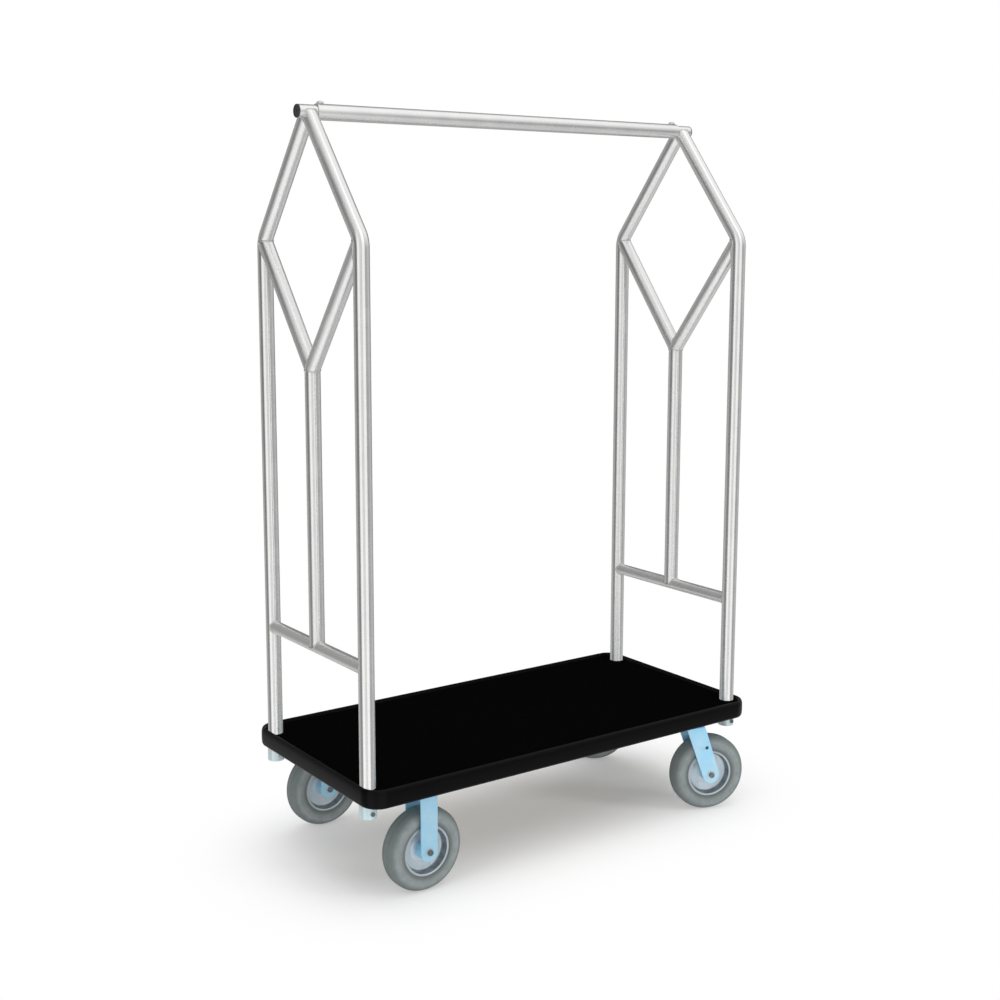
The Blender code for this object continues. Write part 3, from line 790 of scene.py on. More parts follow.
def make_plug(node, place):
    """Push-in end plug: a rim, a shallow dish and a moulding pip."""
    near, far = reach_from_middle(node)
    shank = RAIL_RADIUS - WALL - GAP
    lip = far - PLUG_LIP
    profile = [(0, near), (shank - 0.001, near), (shank, near + 0.001), (shank, lip)]
    profile += [(RAIL_RADIUS, lip)]
    profile += [(RAIL_RADIUS - inward, far - down) for inward, down in PLUG_FACE]
    profile += [(radius, far - down) for radius, down in PLUG_PIP]
    shape = revolved(profile, TUBE_POINTS)
    piece(f"{node}_cap", shape, "black_plastic", FRAME_BODY, [node], place)


def make_dome_screw(node):
    """Button-head screw with a hex socket, on a small spring washer."""
    low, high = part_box(node)
    spot = middle(node)
    place = Matrix.Translation((spot.x, spot.y, 0))
    radius = (high.x - low.x) / 2
    seat = BAR_AXIS_Z + TUBE_RADIUS
    base = seat + SCREW_WASHER
    dome = base + SCREW_SKIRT
    profile = [(0, low.z), (SCREW_SHANK, low.z), (SCREW_SHANK, base), (radius - 0.0004, base)]
    profile.append((radius, dome))
    for step in range(1, 7):
        angle = math.radians(12 * step)
        wide = radius * math.cos(angle) ** 0.8
        profile.append((wide, dome + (high.z - dome) * math.sin(angle)))
    profile += [(RECESS_HALF + 0.0003, high.z - 0.0001), (RECESS_HALF, high.z - 0.0004)]
    profile += [(RECESS_HALF, high.z - RECESS_DEPTH), (0, high.z - RECESS_DEPTH - 0.0002)]
    points, faces = revolved(profile, SCREW_POINTS)
    shape = ([hex_recess(point, high.z - RECESS_FLOOR) for point in points], faces)
    piece(f"{node}_screw", shape, "bright_fasteners", FRAME_BODY, [node], place)
    washer = ring(0.0045, radius - 0.0008, seat - 0.0006, base, 0.0002, SCREW_POINTS)
    piece(f"{node}_washer", washer, "bright_fasteners", FRAME_BODY, place=place)


def hex_recess(point, floor):
    """Pulls a point of the round recess onto a hexagon, and leaves any other where it is."""
    x, y, z = point
    radius = math.hypot(x, y)
    if not TINY < radius <= RECESS_REACH or z < floor:
        return point
    scale = math.cos(math.pi / 6) * hexagon_reach(math.atan2(y, x))
    return (x * scale, y * scale, z)


def hexagon_reach(angle):
    """The distance from a hexagon's middle to its edge, where its flats are at 1."""
    return 1 / math.cos(angle % (math.pi / 3) - math.pi / 6)


# ---------------- deck

BOARD_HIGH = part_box("deck_board")[1]
CARPET_LOW, CARPET_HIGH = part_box("deck_carpet")
BUMPER_LOW, BUMPER_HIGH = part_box("deck_bumper")
DECK_CORNER = 0.041
# Carpet: grid step, rolled edge, and the depth and cycles per metre of its treading and tufts
GRID_SIZE = 0.004
ROLL_WIDTH = 0.006
ROLL_DROP = 0.0012
TREAD_DEPTH = 0.00035
TREAD_SCALE = 9
TUFT_DEPTH = 0.00022
TUFT_SCALE = 170
# Bumper: top crown, rounded foot, how far its flap covers the carpet, half the seam's gap,
# and about how long its straight stretches are
CROWN = 0.016
FOOT = 0.010
FLAP = 0.002
HALF_SEAM = 0.0003
STRETCH = 0.05


def make_board():
    """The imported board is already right: it only takes its plywood. Like the carpet and the
    bumper it stays out of reflections, so that the posts' feet stay bright."""
    board = frame["nodes"]["deck_board"]
    board.data.materials.clear()
    board.data.materials.append(MATERIALS["plywood"])
    board.visible_glossy = False


def carpet_grid():
    """Lines of points across the deck, warped to its rounded outline, rolled over at its
    edge and slightly uneven."""
    half_x = CARPET_HIGH.x - GAP
    half_y = CARPET_HIGH.y - GAP
    columns = round(2 * half_x / GRID_SIZE)
    rows = round(2 * half_y / GRID_SIZE)
    grid = []
    for column in range(columns + 1):
        share = 2 * column / columns - 1
        x = half_x * (share + math.sin(math.pi / 2 * share)) / 2
        past = max(0.0, abs(x) - (half_x - DECK_CORNER))
        width = half_y - DECK_CORNER + math.sqrt(max(DECK_CORNER**2 - past**2, 0))
        line = []
        for row in range(rows + 1):
            y = width * (2 * row / rows - 1)
            edge = min(half_x - abs(x), width - abs(y))
            roll = ROLL_DROP * (1 - min(edge / ROLL_WIDTH, 1)) ** 2
            tread = TREAD_DEPTH * noise.noise(Vector((x, y, 0)) * TREAD_SCALE)
            tuft = TUFT_DEPTH * noise.noise(Vector((x * TUFT_SCALE, y * TUFT_SCALE, 3)))
            line.append((x, y, CARPET_HIGH.z - roll + min(tread + tuft, 0)))
        grid.append(line)
    return grid


def make_carpet():
    """A thin sheet with that grid as its top and a flat bottom, drilled for the posts."""
    grid = carpet_grid()
    points = [point for line in grid for point in line]
    across = len(grid[0])
    last = len(points) - across
    faces = []
    for start in range(0, last, across):
        for here in range(start, start + across - 1):
            faces.append((here, here + across, here + across + 1, here + 1))
    rim = [*range(across - 1), *range(across - 1, last, across)]
    rim += [*range(len(points) - 1, last, -1), *range(last, 0, -across)]
    base = len(points)
    points += [(points[index][0], points[index][1], CARPET_LOW.z) for index in rim]
    for index, here in enumerate(rim):
        after = (index + 1) % len(rim)
        faces.append((here, rim[after], base + after, base + index))
    faces.append(tuple(range(base, len(points))))
    carpet = piece("deck_carpet_pile", (points, faces), "carpet", FRAME_BODY, ["deck_carpet"])
    for end in ENDS:
        for name in SIDES:
            place = Matrix.Translation(post_spot(end, name))
            drill(carpet, TUBE_RADIUS + GAP, CARPET_LOW.z, CARPET_HIGH.z, place)
    carpet.visible_glossy = False


def deck_stations():
    """(point, outward normal) round the deck's edge, from the middle of the back side."""
    half_x = BOARD_HIGH.x
    half_y = BOARD_HIGH.y
    seam = (Vector((0, half_y)), Vector((0, 1)))
    corners = [seam]
    for quarter, (sign_x, sign_y) in enumerate(((-1, 1), (-1, -1), (1, -1), (1, 1))):
        centre = Vector((sign_x * (half_x - DECK_CORNER), sign_y * (half_y - DECK_CORNER)))
        for step in range(CORNER_STEPS + 1):
            angle = math.pi / 2 * (1 + quarter + step / CORNER_STEPS)
            normal = Vector((math.cos(angle), math.sin(angle)))
            corners.append((centre + DECK_CORNER * normal, normal))
    corners.append(seam)
    stations = [(seam[0] - Vector((HALF_SEAM, 0)), seam[1])]
    for (before, _), (after, normal) in zip(corners, corners[1:]):
        stretches = max(1, round((after - before).length / STRETCH))
        for step in range(1, stretches + 1):
            stations.append((before.lerp(after, step / stretches), normal))
    stations[-1] = (seam[0] + Vector((HALF_SEAM, 0)), seam[1])
    return stations


def bumper_profile():
    """(distance outside the board's edge, height), from the flap along the board to the round
    foot, and up over the lower bead, the flat face and the crown."""
    top = BUMPER_HIGH.z
    bottom = BUMPER_LOW.z
    out = BUMPER_HIGH.x - BOARD_HIGH.x
    lip = CARPET_HIGH.z + GAP
    waist = bottom + FOOT
    profile = [(-FLAP, lip), (GAP, lip), (GAP, bottom)]
    for angle in quarter_turn(8):
        profile.append((out * 0.92 * math.sin(angle), waist - FOOT * math.cos(angle)))
    profile += [(out * 0.90, waist + 0.0008), (out * 0.94, waist + 0.0022), (out, waist + 0.0060)]
    for angle in quarter_turn(10, 0):
        reach = (out + 0.0005) * math.cos(angle) ** 0.72 - 0.0005
        profile.append((reach, top - CROWN + CROWN * math.sin(angle)))
    return profile + [(-0.0016, top - 0.0008), (-FLAP, top - 0.0024)]


def make_bumper():
    """The vinyl strip wrapped round the deck, with its butt seam."""
    stations = deck_stations()
    profile = bumper_profile()
    rings = []
    uvs = []
    travelled = 0.0
    previous = stations[0][0]
    for spot, normal in stations:
        travelled += (spot - previous).length
        previous = spot
        rings.append([(*(spot + out * normal), height) for out, height in profile])
        uvs += [(travelled, height + out) for out, height in profile]
    name = "deck_bumper_strip"
    strip = piece(name, skin(rings), "bumper_vinyl", FRAME_BODY, ["deck_bumper"], uvs=uvs)
    strip.visible_glossy = False


# ---------------- fasteners

# Shares of the width across flats: the chamfer's height, and the round end face's size
HEX_CHAMFER = 0.09
HEX_FACE = 0.97
PAN_RADIUS = 0.0042
PAN_EDGE = 0.0007


def hex_body(across_flats, low, high):
    """A hexagon whose two end faces are chamfered round, as on a real bolt head or nut."""
    flat = across_flats / 2
    chamfer = HEX_CHAMFER * across_flats
    rings = []
    for height, shoulder in ((low, 0), (low + chamfer, 3), (high - chamfer, -3), (high, 0)):
        points = []
        for angle in turn_angles(HEX_POINTS):
            radius = flat * hexagon_reach(angle)
            z = height + shoulder * chamfer * (radius - flat) / flat
            if not shoulder:
                radius = HEX_FACE * flat
            points.append((radius * math.cos(angle), radius * math.sin(angle), z))
        rings.append(points)
    return skin(rings)


def threaded(radius, low, high, pitch=0.00125):
    """A rod with ridges, close enough to a thread at this size, and a chamfered tip."""
    profile = [(0, low), (radius, low)]
    for index in range(int((high - low - 0.001) / pitch)):
        base = low + pitch * index
        profile.append((radius, base + 0.25 * pitch))
        profile.append((radius - 0.35 * pitch, base + 0.75 * pitch))
    profile += [(radius, high - 0.001), (radius - 0.001, high), (0, high)]
    return revolved(profile, SMALL_POINTS)


def pan_head():
    """A pan head that hangs below its plate, with a small driver recess."""
    profile = [(0, 0.0), (PAN_RADIUS, 0.0), (PAN_RADIUS, -PAN_EDGE)]
    for angle in quarter_turn(5):
        wide = PAN_RADIUS * math.cos(angle) + 0.0003
        profile.append((wide, -PAN_EDGE - 0.0017 * math.sin(angle)))
    profile += [(0.0011, -0.0023), (0.0007, -0.0011), (0, -0.0010)]
    return revolved(profile, 24)


# ---------------- post sockets

SOCKET_RADIUS = 0.0214
SOCKET_EDGE = 0.0006
SOCKET_WELD = 0.0013
FLANGE_THICKNESS = 0.004
FLANGE_CORNER = 0.006
# Inward from the post and across it
SCREW_SPOTS = ((-0.048, -0.026), (-0.048, 0.026), (-0.030, -0.026), (-0.030, 0.026))
# Cross bolt: across flats, shank, washer radius and thickness, nut height, thread pitch
CROSS_FLATS = 0.0100
CROSS_SHANK = 0.0030
CROSS_WASHER = (0.0062, 0.0010)
CROSS_NUT = 0.0050
CROSS_PITCH = 0.0010


def make_socket(end, name):
    """Flange plate, sleeve and fillet weld, and the four screws into the board."""
    node = f"{end}_{name}_socket"
    low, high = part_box(node)
    spot = post_spot(end, name)
    place = Matrix.Translation(spot)
    plate_low = high.z - FLANGE_THICKNESS
    bore = TUBE_RADIUS + GAP
    shape = plate(low, high, FLANGE_CORNER, plate_low, high.z)
    flange = piece(f"{node}_flange", shape, "pale_zinc", FRAME_BODY, [node])
    drill(flange, bore, plate_low, high.z, place)
    soften(flange, SOCKET_EDGE)
    sleeve = ring(bore, SOCKET_RADIUS, low.z, plate_low, SOCKET_EDGE, TUBE_POINTS)
    piece(f"{node}_sleeve", sleeve, "pale_zinc", FRAME_BODY, place=place)
    radial = np.array([(math.cos(a), math.sin(a), 0) for a in turn_angles(TUBE_POINTS)])
    circle = np.array((spot.x, spot.y, plate_low)) + (SOCKET_RADIUS + GAP) * radial
    bead(f"{node}_weld", circle, radial, SOCKET_WELD, "pale_zinc")
    for index, (inward, across) in enumerate(SCREW_SPOTS):
        at = Matrix.Translation((spot.x + ENDS[end] * inward, spot.y + across, plate_low))
        screw = f"{node}_screw_{index + 1}"
        piece(screw, pan_head(), "bright_fasteners", FRAME_BODY, place=at)


def make_socket_bolt(end, name):
    """The hex bolt that pins the post in its socket: head outside, nut inside."""
    node = f"{end}_{name}_socket_bolt"
    low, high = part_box(node)
    side = SIDES[name]
    spot = post_spot(end, name)
    place = pointing((0, side, 0), (spot.x, spot.y, middle(node).z))
    near, far = sorted((side * (low.y - spot.y), side * (high.y - spot.y)))
    seat = SOCKET_RADIUS + GAP
    wide, thick = CROSS_WASHER
    for part, shape, look, nodes in (
        ("head", hex_body(CROSS_FLATS, seat + thick, far), "dark_fasteners", [node]),
        ("washer", ring(CROSS_SHANK, wide, seat, seat + thick), "bright_fasteners", []),
        ("shank", threaded(CROSS_SHANK, near, seat, CROSS_PITCH), "bright_fasteners", []),
        ("nut", hex_body(CROSS_FLATS, -seat - CROSS_NUT, -seat), "bright_fasteners", []),
    ):
        piece(f"{node}_{part}", shape, look, FRAME_BODY, nodes, place)


# ---------------- casters

JOINTS = {joint["name"]: joint for joint in frame["joints"]}
UP = Vector((0, 0, 1))
# Fork: inner face of a leg, its round end, half widths of its top, shoulder bend, bevel
LEG_INNER = 0.032
LEG_OUTER = LEG_INNER + SHEET
LEG_END = 0.0235
RIGID_HALF_TOP = 0.0235
SWIVEL_HALF_TOP = 0.027
SHOULDER_RADIUS = 0.010
FORK_EDGE = 0.0008
# Guard hole: radius, place along the trail as a share of it, height over the hub
GUARD_HOLE_RADIUS = 0.005
GUARD_HOLE_ALONG = 0.7
GUARD_HOLE_ABOVE_HUB = 0.078
# Top plate and where its bolts are. Bolt: across flats and head height. Washer: inner and
# outer radius, and thickness.
PLATE_THICKNESS = 0.005
PLATE_HALF = (0.057, 0.042)
PLATE_CORNER = 0.010
PLATE_EDGE = 0.0007
PLATE_BOLT_SPOT = (0.0465, 0.0325)
PLATE_BOLT = (0.0100, 0.0040)
PLATE_WASHER = (0.0032, 0.0070, 0.0010)
# Axle bolt: radius, play round it, across flats, head and nut heights, tip past the far leg
AXLE_RADIUS = 0.005
AXLE_PLAY = 0.0002
AXLE_FLATS = 0.0138
AXLE_HEAD = 0.0054
AXLE_NUT = 0.0070
AXLE_TIP = 0.0133
# Axle washer: radius and thickness. Nylon collar of the lock nut: inner and outer radius, how
# far it sinks into the nut, and how far it stands out of it.
AXLE_WASHER = (0.0105, 0.0016)
COLLAR = (0.0051, 0.0068, 0.0002, 0.0022)
SPACER_RADIUS = 0.0075
SPACER_EDGE = 0.0003
# Kingpin: radius, chamfer, tip past its nut, the nut's size across flats and its seat
PIN_RADIUS = 0.007
PIN_CHAMFER = 0.001
PIN_TIP = 0.002
PIN_FLATS = 0.0220
PIN_SEAT = 0.0010
# Ball race: width, half the gap between its two halves, and how far they narrow outwards
RACE_WIDTH = 0.012
HALF_RACE_GAP = 0.0002
RACE_TAPER = 0.0015


class Caster:
    """One caster. Its place has X along the trail, Y along the axle and Z up, with the
    origin on the floor under the swivel axis."""

    def __init__(self, end, name):
        self.name = f"{end}_{name}"
        roll = JOINTS[f"{self.name}_roll"]
        axle = Vector(roll["axis"])
        forward = axle.cross(UP)
        hub = Vector(roll["pos_m"])
        self.hub_z = hub.z
        self.body = FRAME_BODY
        self.trail = 0.0
        if end == "right":
            self.body = f"{self.name}_swivel"
            swivel = Vector(JOINTS[f"{self.name}_turn"]["pos_m"])
            self.trail = (hub - swivel).to_2d().length
        origin = Vector((hub.x, hub.y, 0)) - self.trail * forward
        turned = Matrix((forward, axle, UP)).transposed().to_4x4()
        self.place = Matrix.Translation(origin) @ turned

    def box(self, node):
        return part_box(f"{self.name}_{node}")

    def part(self, name, shape, look, nodes=(), place=None, body=None, uvs=None):
        """A piece of this caster. Nodes are given without the caster's own name."""
        nodes = [f"{self.name}_{node}" for node in nodes]
        place = place or self.place
        return piece(f"{self.name}_{name}", shape, look, body or self.body, nodes, place, uvs)

    def on_axle(self, side):
        """Z along the axle from the middle of the wheel, to the near (-1) or far (1) leg."""
        return self.place @ pointing((0, side, 0), (self.trail, 0, self.hub_z))


def leg_edges(caster, height, top, half_top):
    """The leg's two edges at a height: tangent lines down to a round end about the axle."""
    edges = []
    centre = Vector((caster.trail, caster.hub_z))
    for sign in (-1, 1):
        corner = Vector((sign * half_top, top))
        gap = corner - centre
        lean = math.acos(LEG_END / gap.length)
        touch = centre + LEG_END * (Matrix.Rotation(-sign * lean, 2) @ gap.normalized())
        if height > touch.y:
            share = (height - touch.y) / (corner.y - touch.y)
            edges.append(touch.x + share * (corner.x - touch.x))
        else:
            drop = min(abs(height - caster.hub_z), LEG_END * 0.9995)
            edges.append(caster.trail + sign * math.sqrt(LEG_END**2 - drop**2))
    return edges


def fork_shape(caster, half_top, top):
    """One pressed strip: up a leg, round the shoulder, over the crown and down again."""
    hub_z = caster.hub_z
    heights = [hub_z - 0.9994 * LEG_END]
    heights += [hub_z - LEG_END * math.cos(math.radians(turn)) for turn in range(10, 90, 6)]
    straight = top - SHOULDER_RADIUS - hub_z
    heights += [hub_z + straight * step / 12 for step in range(13)]
    spots = [(Vector((-LEG_OUTER, height)), Vector((1, 0))) for height in heights]
    centre = Vector((-LEG_OUTER + SHOULDER_RADIUS, top - SHOULDER_RADIUS))
    for angle in quarter_turn(8):
        inward = Vector((math.cos(angle), -math.sin(angle)))
        spots.append((centre - SHOULDER_RADIUS * inward, inward))
    rings = []
    for side, half in ((1, spots), (-1, spots[::-1])):
        for outside, inward in half:
            low, high = leg_edges(caster, outside.y, top, half_top)
            inside = outside + SHEET * inward
            corners = ((low, outside), (high, outside), (high, inside), (low, inside))
            rings.append([(x, side * spot.x, spot.y) for x, spot in corners])
    return skin(rings)


def make_top_plate(caster, place, top, nodes):
    """Rounded mounting plate, with a hex bolt and a washer in each corner."""
    low = top - PLATE_THICKNESS
    shape = plate([-half for half in PLATE_HALF], PLATE_HALF, PLATE_CORNER, low, top)
    soften(caster.part("plate", shape, "zinc_plate", nodes, place, FRAME_BODY), PLATE_EDGE)
    flats, head = PLATE_BOLT
    inner, outer, thick = PLATE_WASHER
    for index, (x, y) in enumerate(((-1, -1), (1, -1), (1, 1), (-1, 1))):
        spot = (x * PLATE_BOLT_SPOT[0], y * PLATE_BOLT_SPOT[1], low)
        at = place @ Matrix.Translation(spot)
        for part, shape in (
            ("washer", ring(inner, outer, -thick, 0)),
            ("bolt", hex_body(flats, -thick - head, -thick)),
        ):
            name = f"plate_{part}_{index + 1}"
            caster.part(name, shape, "bright_fasteners", (), at, FRAME_BODY)


def make_axle(caster):
    """Hex bolt, washers, lock nut and the spacer tube that the hub runs on."""
    near = caster.on_axle(-1)
    far = caster.on_axle(1)
    bore = AXLE_RADIUS + AXLE_PLAY
    wide, thick = AXLE_WASHER
    face = LEG_OUTER + thick
    top = face + AXLE_NUT
    half = LEG_INNER - GAP
    washer = ring(bore, wide, LEG_OUTER, face)
    head = hex_body(AXLE_FLATS, face, face + AXLE_HEAD)
    rod = threaded(AXLE_RADIUS, -LEG_OUTER - AXLE_TIP, LEG_OUTER)
    nut = hex_body(AXLE_FLATS, face, top)
    inner, outer, sunk, proud = COLLAR
    collar = ring(inner, outer, top - sunk, top + proud)
    spacer = ring(bore, SPACER_RADIUS, -half, half, SPACER_EDGE)
    caster.part("axle_head", head, "dark_fasteners", ["axle_bolt"], near)
    caster.part("axle_washer", washer, "bright_fasteners", (), near)
    caster.part("axle_thread", rod, "bright_fasteners", (), near)
    caster.part("axle_nut_washer", washer, "bright_fasteners", (), far)
    caster.part("axle_nut", nut, "bright_fasteners", (), far)
    caster.part("axle_nut_collar", collar, "lock_nut_nylon", (), far)
    caster.part("spacer_tube", spacer, "bright_fasteners", ["axle_spacer"], far)


def make_rigid_caster(name):
    """Top plate and fork, bolted under the deck."""
    caster = Caster("left", name)
    top = caster.box("rigid_fork")[1].z
    shape = fork_shape(caster, RIGID_HALF_TOP, top - PLATE_THICKNESS)
    soften(caster.part("fork", shape, "zinc_plate", ["rigid_fork"]), FORK_EDGE)
    make_top_plate(caster, caster.place, top, ())
    make_axle(caster)
    make_wheel(caster)


def make_swivel_caster(name):
    """A fixed top plate, and a fork that turns under it on a ball race and a kingpin."""
    caster = Caster("right", name)
    spot = (caster.box("swivel_plate")[0] + caster.box("swivel_plate")[1]) / 2
    fixed = Matrix.Translation((spot.x, spot.y, 0))
    make_top_plate(caster, fixed, caster.box("swivel_plate")[1].z, ["swivel_plate"])
    crown = caster.box("swivel_fork")[1].z
    make_race(caster, fixed, crown)
    low, high = (corner.z for corner in caster.box("kingpin"))
    nut = hex_body(PIN_FLATS, low, crown - SHEET - PIN_SEAT)
    caster.part("kingpin_nut", nut, "bright_fasteners", ["kingpin"], fixed, FRAME_BODY)
    tip = low - PIN_TIP
    profile = [(0, tip), (PIN_RADIUS - PIN_CHAMFER, tip), (PIN_RADIUS, tip + PIN_CHAMFER)]
    shank = revolved(profile + [(PIN_RADIUS, high), (0, high)], SMALL_POINTS)
    caster.part("kingpin_shank", shank, "bright_fasteners", (), fixed, FRAME_BODY)
    shape = fork_shape(caster, SWIVEL_HALF_TOP, crown)
    fork = caster.part("fork", shape, "zinc_plate", ["swivel_fork"])
    hole = (GUARD_HOLE_ALONG * caster.trail, 0, caster.hub_z + GUARD_HOLE_ABOVE_HUB)
    across = caster.place @ pointing((0, 1, 0), hole)
    drill(fork, GUARD_HOLE_RADIUS, -LEG_OUTER, LEG_OUTER, across)
    soften(fork, FORK_EDGE)
    make_axle(caster)
    make_wheel(caster)


def make_race(caster, fixed, crown):
    """The two halves of the ball race: the upper is fixed, the lower turns with the fork."""
    low, high = caster.box("swivel_race")
    outer = (high.x - low.x) / 2
    inner = outer - RACE_WIDTH
    gap = (low.z + high.z) / 2
    for part, face, lip, look, nodes, place, body in (
        ("upper_race", high.z, HALF_RACE_GAP, "bright_fasteners", ["swivel_race"], fixed, FRAME_BODY),
        ("lower_race", crown, -HALF_RACE_GAP, "zinc_plate", [], caster.place, caster.body),
    ):
        outline = [(inner, gap + lip, 0.0002), (outer, gap + lip, 0.0010)]
        outline += [(outer - RACE_TAPER, face, 0.0003), (inner, face, 0.0003)]
        shape = revolved(rounded_outline(outline, 4), TUBE_POINTS, closed=True)
        caster.part(part, shape, look, nodes, place, body)


# ---------------- wheels

HUB_RADIUS = 0.0225
HUB_BORE = 0.0113
HUB_HALF = 0.0285
HUB_EDGE = 0.0008
BEARING_BORE = 0.0079
BEARING_HALF = 0.0290
BEARING_EDGE = 0.0004
# Half outlines of (radius, distance across from the middle, corner radius). The rim's goes
# over a flat disc, a deep well and a rolled flange.
RIM_HALF = (
    (HUB_RADIUS - 0.0010, 0.0062, 0),
    (0.0290, 0.0062, 0.0040),
    (0.0345, 0.0045, 0.0030),
    (0.0530, 0.0050, 0.0045),
    (0.0572, 0.0235, 0.0010),
    (0.0590, 0.0255, 0.0010),
    (0.0638, 0.0252, 0.0012),
    (0.0636, 0.0228, 0.0006),
    (0.0597, 0.0222, 0.0006),
)
# The tyre's goes over a sidewall step and a bulge to a round shoulder and a shallow groove.
TYRE_HALF = (
    (0.0601, 0.0220, 0.0004),
    (0.0642, 0.0226, 0.0004),
    (0.0644, 0.0258, 0.0012),
    (0.0672, 0.0268, 0.0012),
    (0.0682, 0.0262, 0.0006),
    (0.0700, 0.0264, 0.0008),
    (0.0850, 0.0276, 0.0120),
    (0.0985, 0.0215, 0.0070),
    (0.1028, 0.0130, 0.0060),
    (0.1037, 0.0098, 0.0003),
    (0.1027, 0.0092, 0.0003),
    (0.1027, 0.0084, 0.0003),
    (0.1039, 0.0078, 0.0003),
)


def make_wheel(caster):
    """Rim of two pressed dishes back to back, hub barrel, tyre and bearing sleeve. The rim
    and the tyre keep radius and turn as their UVs, for looks that follow their rings."""
    body = f"{caster.name}_wheel"
    place = caster.on_axle(1)
    turns = [index / WHEEL_POINTS for index in range(WHEEL_POINTS)]
    for name, half, look, node in (
        ("pressed_rim", RIM_HALF, "wheel_rim", "rim"),
        ("moulded_tyre", TYRE_HALF, "tyre_rubber", "tyre"),
    ):
        other_half = [(radius, -across, corner) for radius, across, corner in reversed(half)]
        profile = rounded_outline([*half, *other_half])
        uvs = [(radius, turn) for radius, _ in profile for turn in turns]
        shape = revolved(profile, WHEEL_POINTS, closed=True)
        caster.part(name, shape, look, [node], place, body, uvs)
    hub = ring(HUB_BORE, HUB_RADIUS, -HUB_HALF, HUB_HALF, HUB_EDGE, TUBE_POINTS)
    caster.part("hub_barrel", hub, "zinc_plate", (), place, body)
    bearing = (BEARING_BORE, HUB_BORE - GAP, -BEARING_HALF, BEARING_HALF)
    sleeve = ring(*bearing, BEARING_EDGE, TUBE_POINTS)
    caster.part("bearing_sleeve", sleeve, "bright_fasteners", ["hub_bearing"], place, body)


# ---------------- studio

# The shadow is kept near the middle of the deck, and fades to white over this distance.
SHADOW_CORE = (0.45, 0.05, 0)
SHADOW_FADE = 0.50
FLOOR_SIZE = 60.0

# What polished tube sees: (degrees to the right of the camera, width in degrees, brightness),
# each with an edge that fades over this many degrees to either side
WALLS = (
    (-130, 60, 0.24),
    (-38, 38, 0.92),
    (-6, 18, 0.66),
    (30, 44, 0.88),
    (72, 22, 0.16),
    (115, 50, 0.30),
)
WALL_EDGE = 4
# The light between those walls, overhead and from below, and for surfaces that don't shine
WALL_BASE = 0.20
CEILING = 0.75
CEILING_MIDDLE = (0.476, -0.321, 0.819)
GROUND = 0.28
EVEN_LIGHT = 0.60

# Soft boxes: (name, location, target, size, watts)
SOFT_BOXES = (
    ("key_box", (-4.2, -0.9, 2.6), (0, 0, 0.9), (2.2, 3.0), 30),
    ("top_box", (0.3, 0.2, 5.2), (0, 0, 0), (4.5, 3.5), 90),
    ("fill_box", (3.1, -3.9, 1.7), (0, 0, 0.3), (1.1, 1.4), 48),
)

CAMERA_SPOT = (-2.2157, -2.9886, 1.5422)
CAMERA_YAW = 0.5932
CAMERA_PITCH = -0.1505
CAMERA_ROLL = -0.0033
CAMERA_LENS = 51.453
CAMERA_SHIFT = (0.05386, -0.0391)


def make_floor():
    """A pale floor that takes the cart's shadow and fades to plain white further out. There
    it lets reflections through, so that polished tube sees the studio's darker walls and
    not an endless white sheet."""
    corners = [(x * FLOOR_SIZE, y * FLOOR_SIZE, 0) for x, y in ((-1, -1), (1, -1), (1, 1), (-1, 1))]
    mesh = new_mesh("studio_floor", (corners, [(0, 1, 2, 3)]))
    m = Nodes("studio_floor")
    m.set(Base_Color=WHITE, Roughness=0.9, Specular_IOR_Level=0.0)
    white = m.node("Emission", 0, {"Color": WHITE})
    clear = m.node("BsdfTransparent", 0)
    far = m.blend(m.node("LightPath", "Is Glossy Ray"), white, clear)
    away = m.vector("SUBTRACT", m.vector("ABSOLUTE", m.coordinates()), SHADOW_CORE)
    away = m.vector("LENGTH", m.vector("MAXIMUM", away, (0, 0, 0)))
    fade = m.remap(away, 0.0, SHADOW_FADE, smooth=True)
    m.finish("Material Output", m.blend(fade, m.shader.outputs[0], far))
    mesh.materials.append(m.material)
    new_object("studio_floor", mesh)


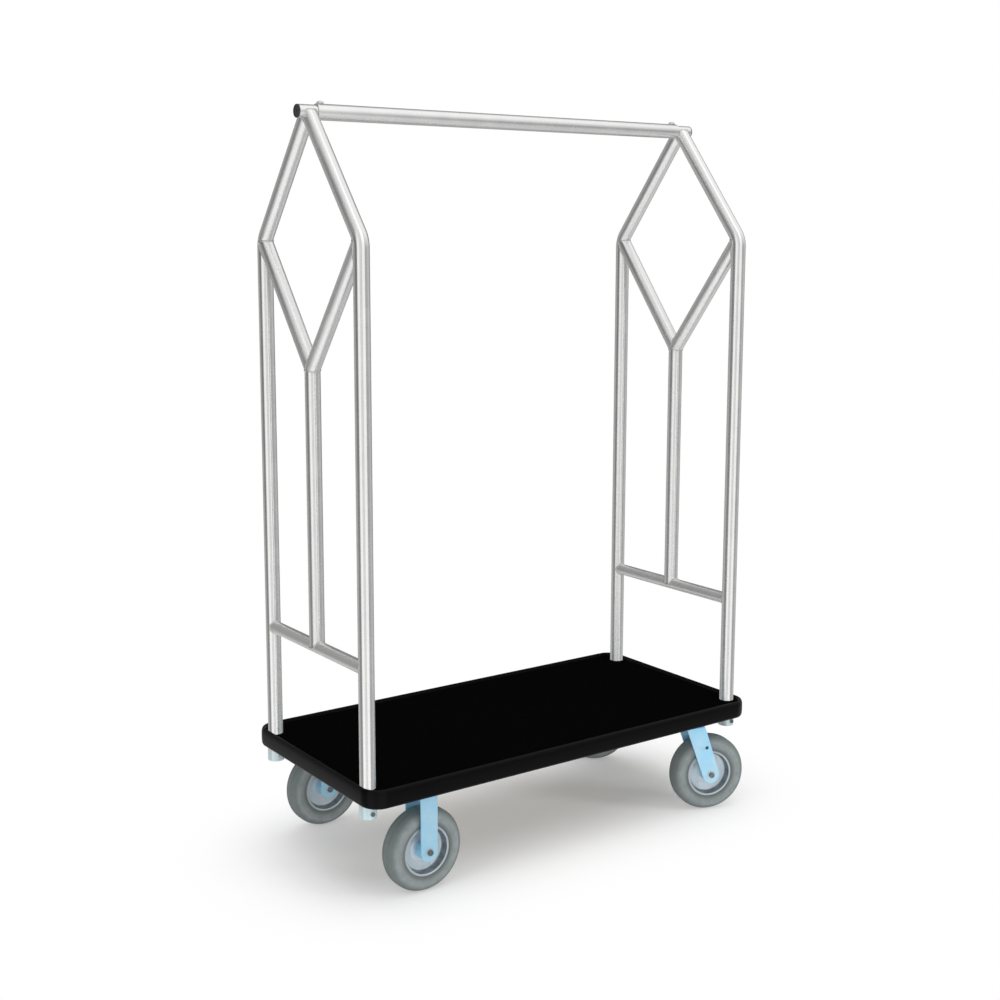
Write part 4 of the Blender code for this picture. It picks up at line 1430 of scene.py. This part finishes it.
def make_world():
    """White to the camera, even light for matt surfaces, and soft panels for shiny ones."""
    world = bpy.data.worlds.new("studio")
    bpy.context.scene.world = world
    world.use_nodes = True
    tree = world.node_tree
    tree.nodes.remove(tree.nodes["Background"])
    w = Graph(tree)
    direction = w.node("TexCoord", "Generated")
    upward = w.vector("DOT_PRODUCT", direction, tuple(UP))
    level = w.maths("SQRT", w.maths("SUBTRACT", 1.0, w.maths("POWER", upward, 2.0)))
    overhead = w.vector("DOT_PRODUCT", direction, CEILING_MIDDLE)
    ceiling = w.remap(overhead, 0.5, 0.95, WALL_BASE, WALL_BASE + CEILING)
    light = w.maths("ADD", ceiling, w.remap(upward, -0.15, -0.55, 0.0, GROUND))
    for turn, width, brightness in WALLS:
        yaw = math.radians(180 + turn) - CAMERA_YAW
        facing = w.vector("DOT_PRODUCT", direction, (-math.sin(yaw), math.cos(yaw), 0))
        edge = math.cos(math.radians(width / 2 + WALL_EDGE))
        core = math.cos(math.radians(width / 2 - WALL_EDGE))
        panel = w.remap(w.maths("DIVIDE", facing, level), edge, core, 0, brightness, True)
        light = w.maths("ADD", light, panel)
    shine = w.background(light)
    even = w.background(EVEN_LIGHT)
    unseen = w.blend(w.node("LightPath", "Is Glossy Ray"), even, shine)
    seen = w.blend(w.node("LightPath", "Is Camera Ray"), unseen, w.background(1.0))
    w.finish("World Output", seen)


def make_soft_box(name, location, target, size, power):
    light = bpy.data.lights.new(name, "AREA")
    light.shape = "RECTANGLE"
    light.size, light.size_y = size
    light.energy = power
    made = new_object(name, light)
    made.location = location
    aim = Vector(target) - Vector(location)
    made.rotation_euler = aim.to_track_quat("-Z", "Y").to_euler()
    made.visible_glossy = False


def make_camera():
    data = bpy.data.cameras.new("camera")
    data.lens = CAMERA_LENS
    data.sensor_width = 36
    data.shift_x, data.shift_y = CAMERA_SHIFT
    camera = new_object("camera", data)
    bpy.context.scene.camera = camera
    heading = Vector((math.sin(CAMERA_YAW), math.cos(CAMERA_YAW), 0))
    forward = math.cos(CAMERA_PITCH) * heading + math.sin(CAMERA_PITCH) * UP
    level = heading.cross(UP)
    right = math.cos(CAMERA_ROLL) * level + math.sin(CAMERA_ROLL) * level.cross(forward)
    turn = Matrix((right, right.cross(forward), -forward)).transposed().to_4x4()
    camera.matrix_world = Matrix.Translation(CAMERA_SPOT) @ turn


# ---------------- build

for end in ENDS:
    make_end_frame(end)
    for name in SIDES:
        make_socket(end, name)
        make_socket_bolt(end, name)
make_bar()
make_board()
make_carpet()
make_bumper()
for name in SIDES:
    make_rigid_caster(name)
    make_swivel_caster(name)
make_floor()
make_world()
for soft_box in SOFT_BOXES:
    make_soft_box(*soft_box)
make_camera()
bpy.context.scene.view_settings.view_transform = "Standard"
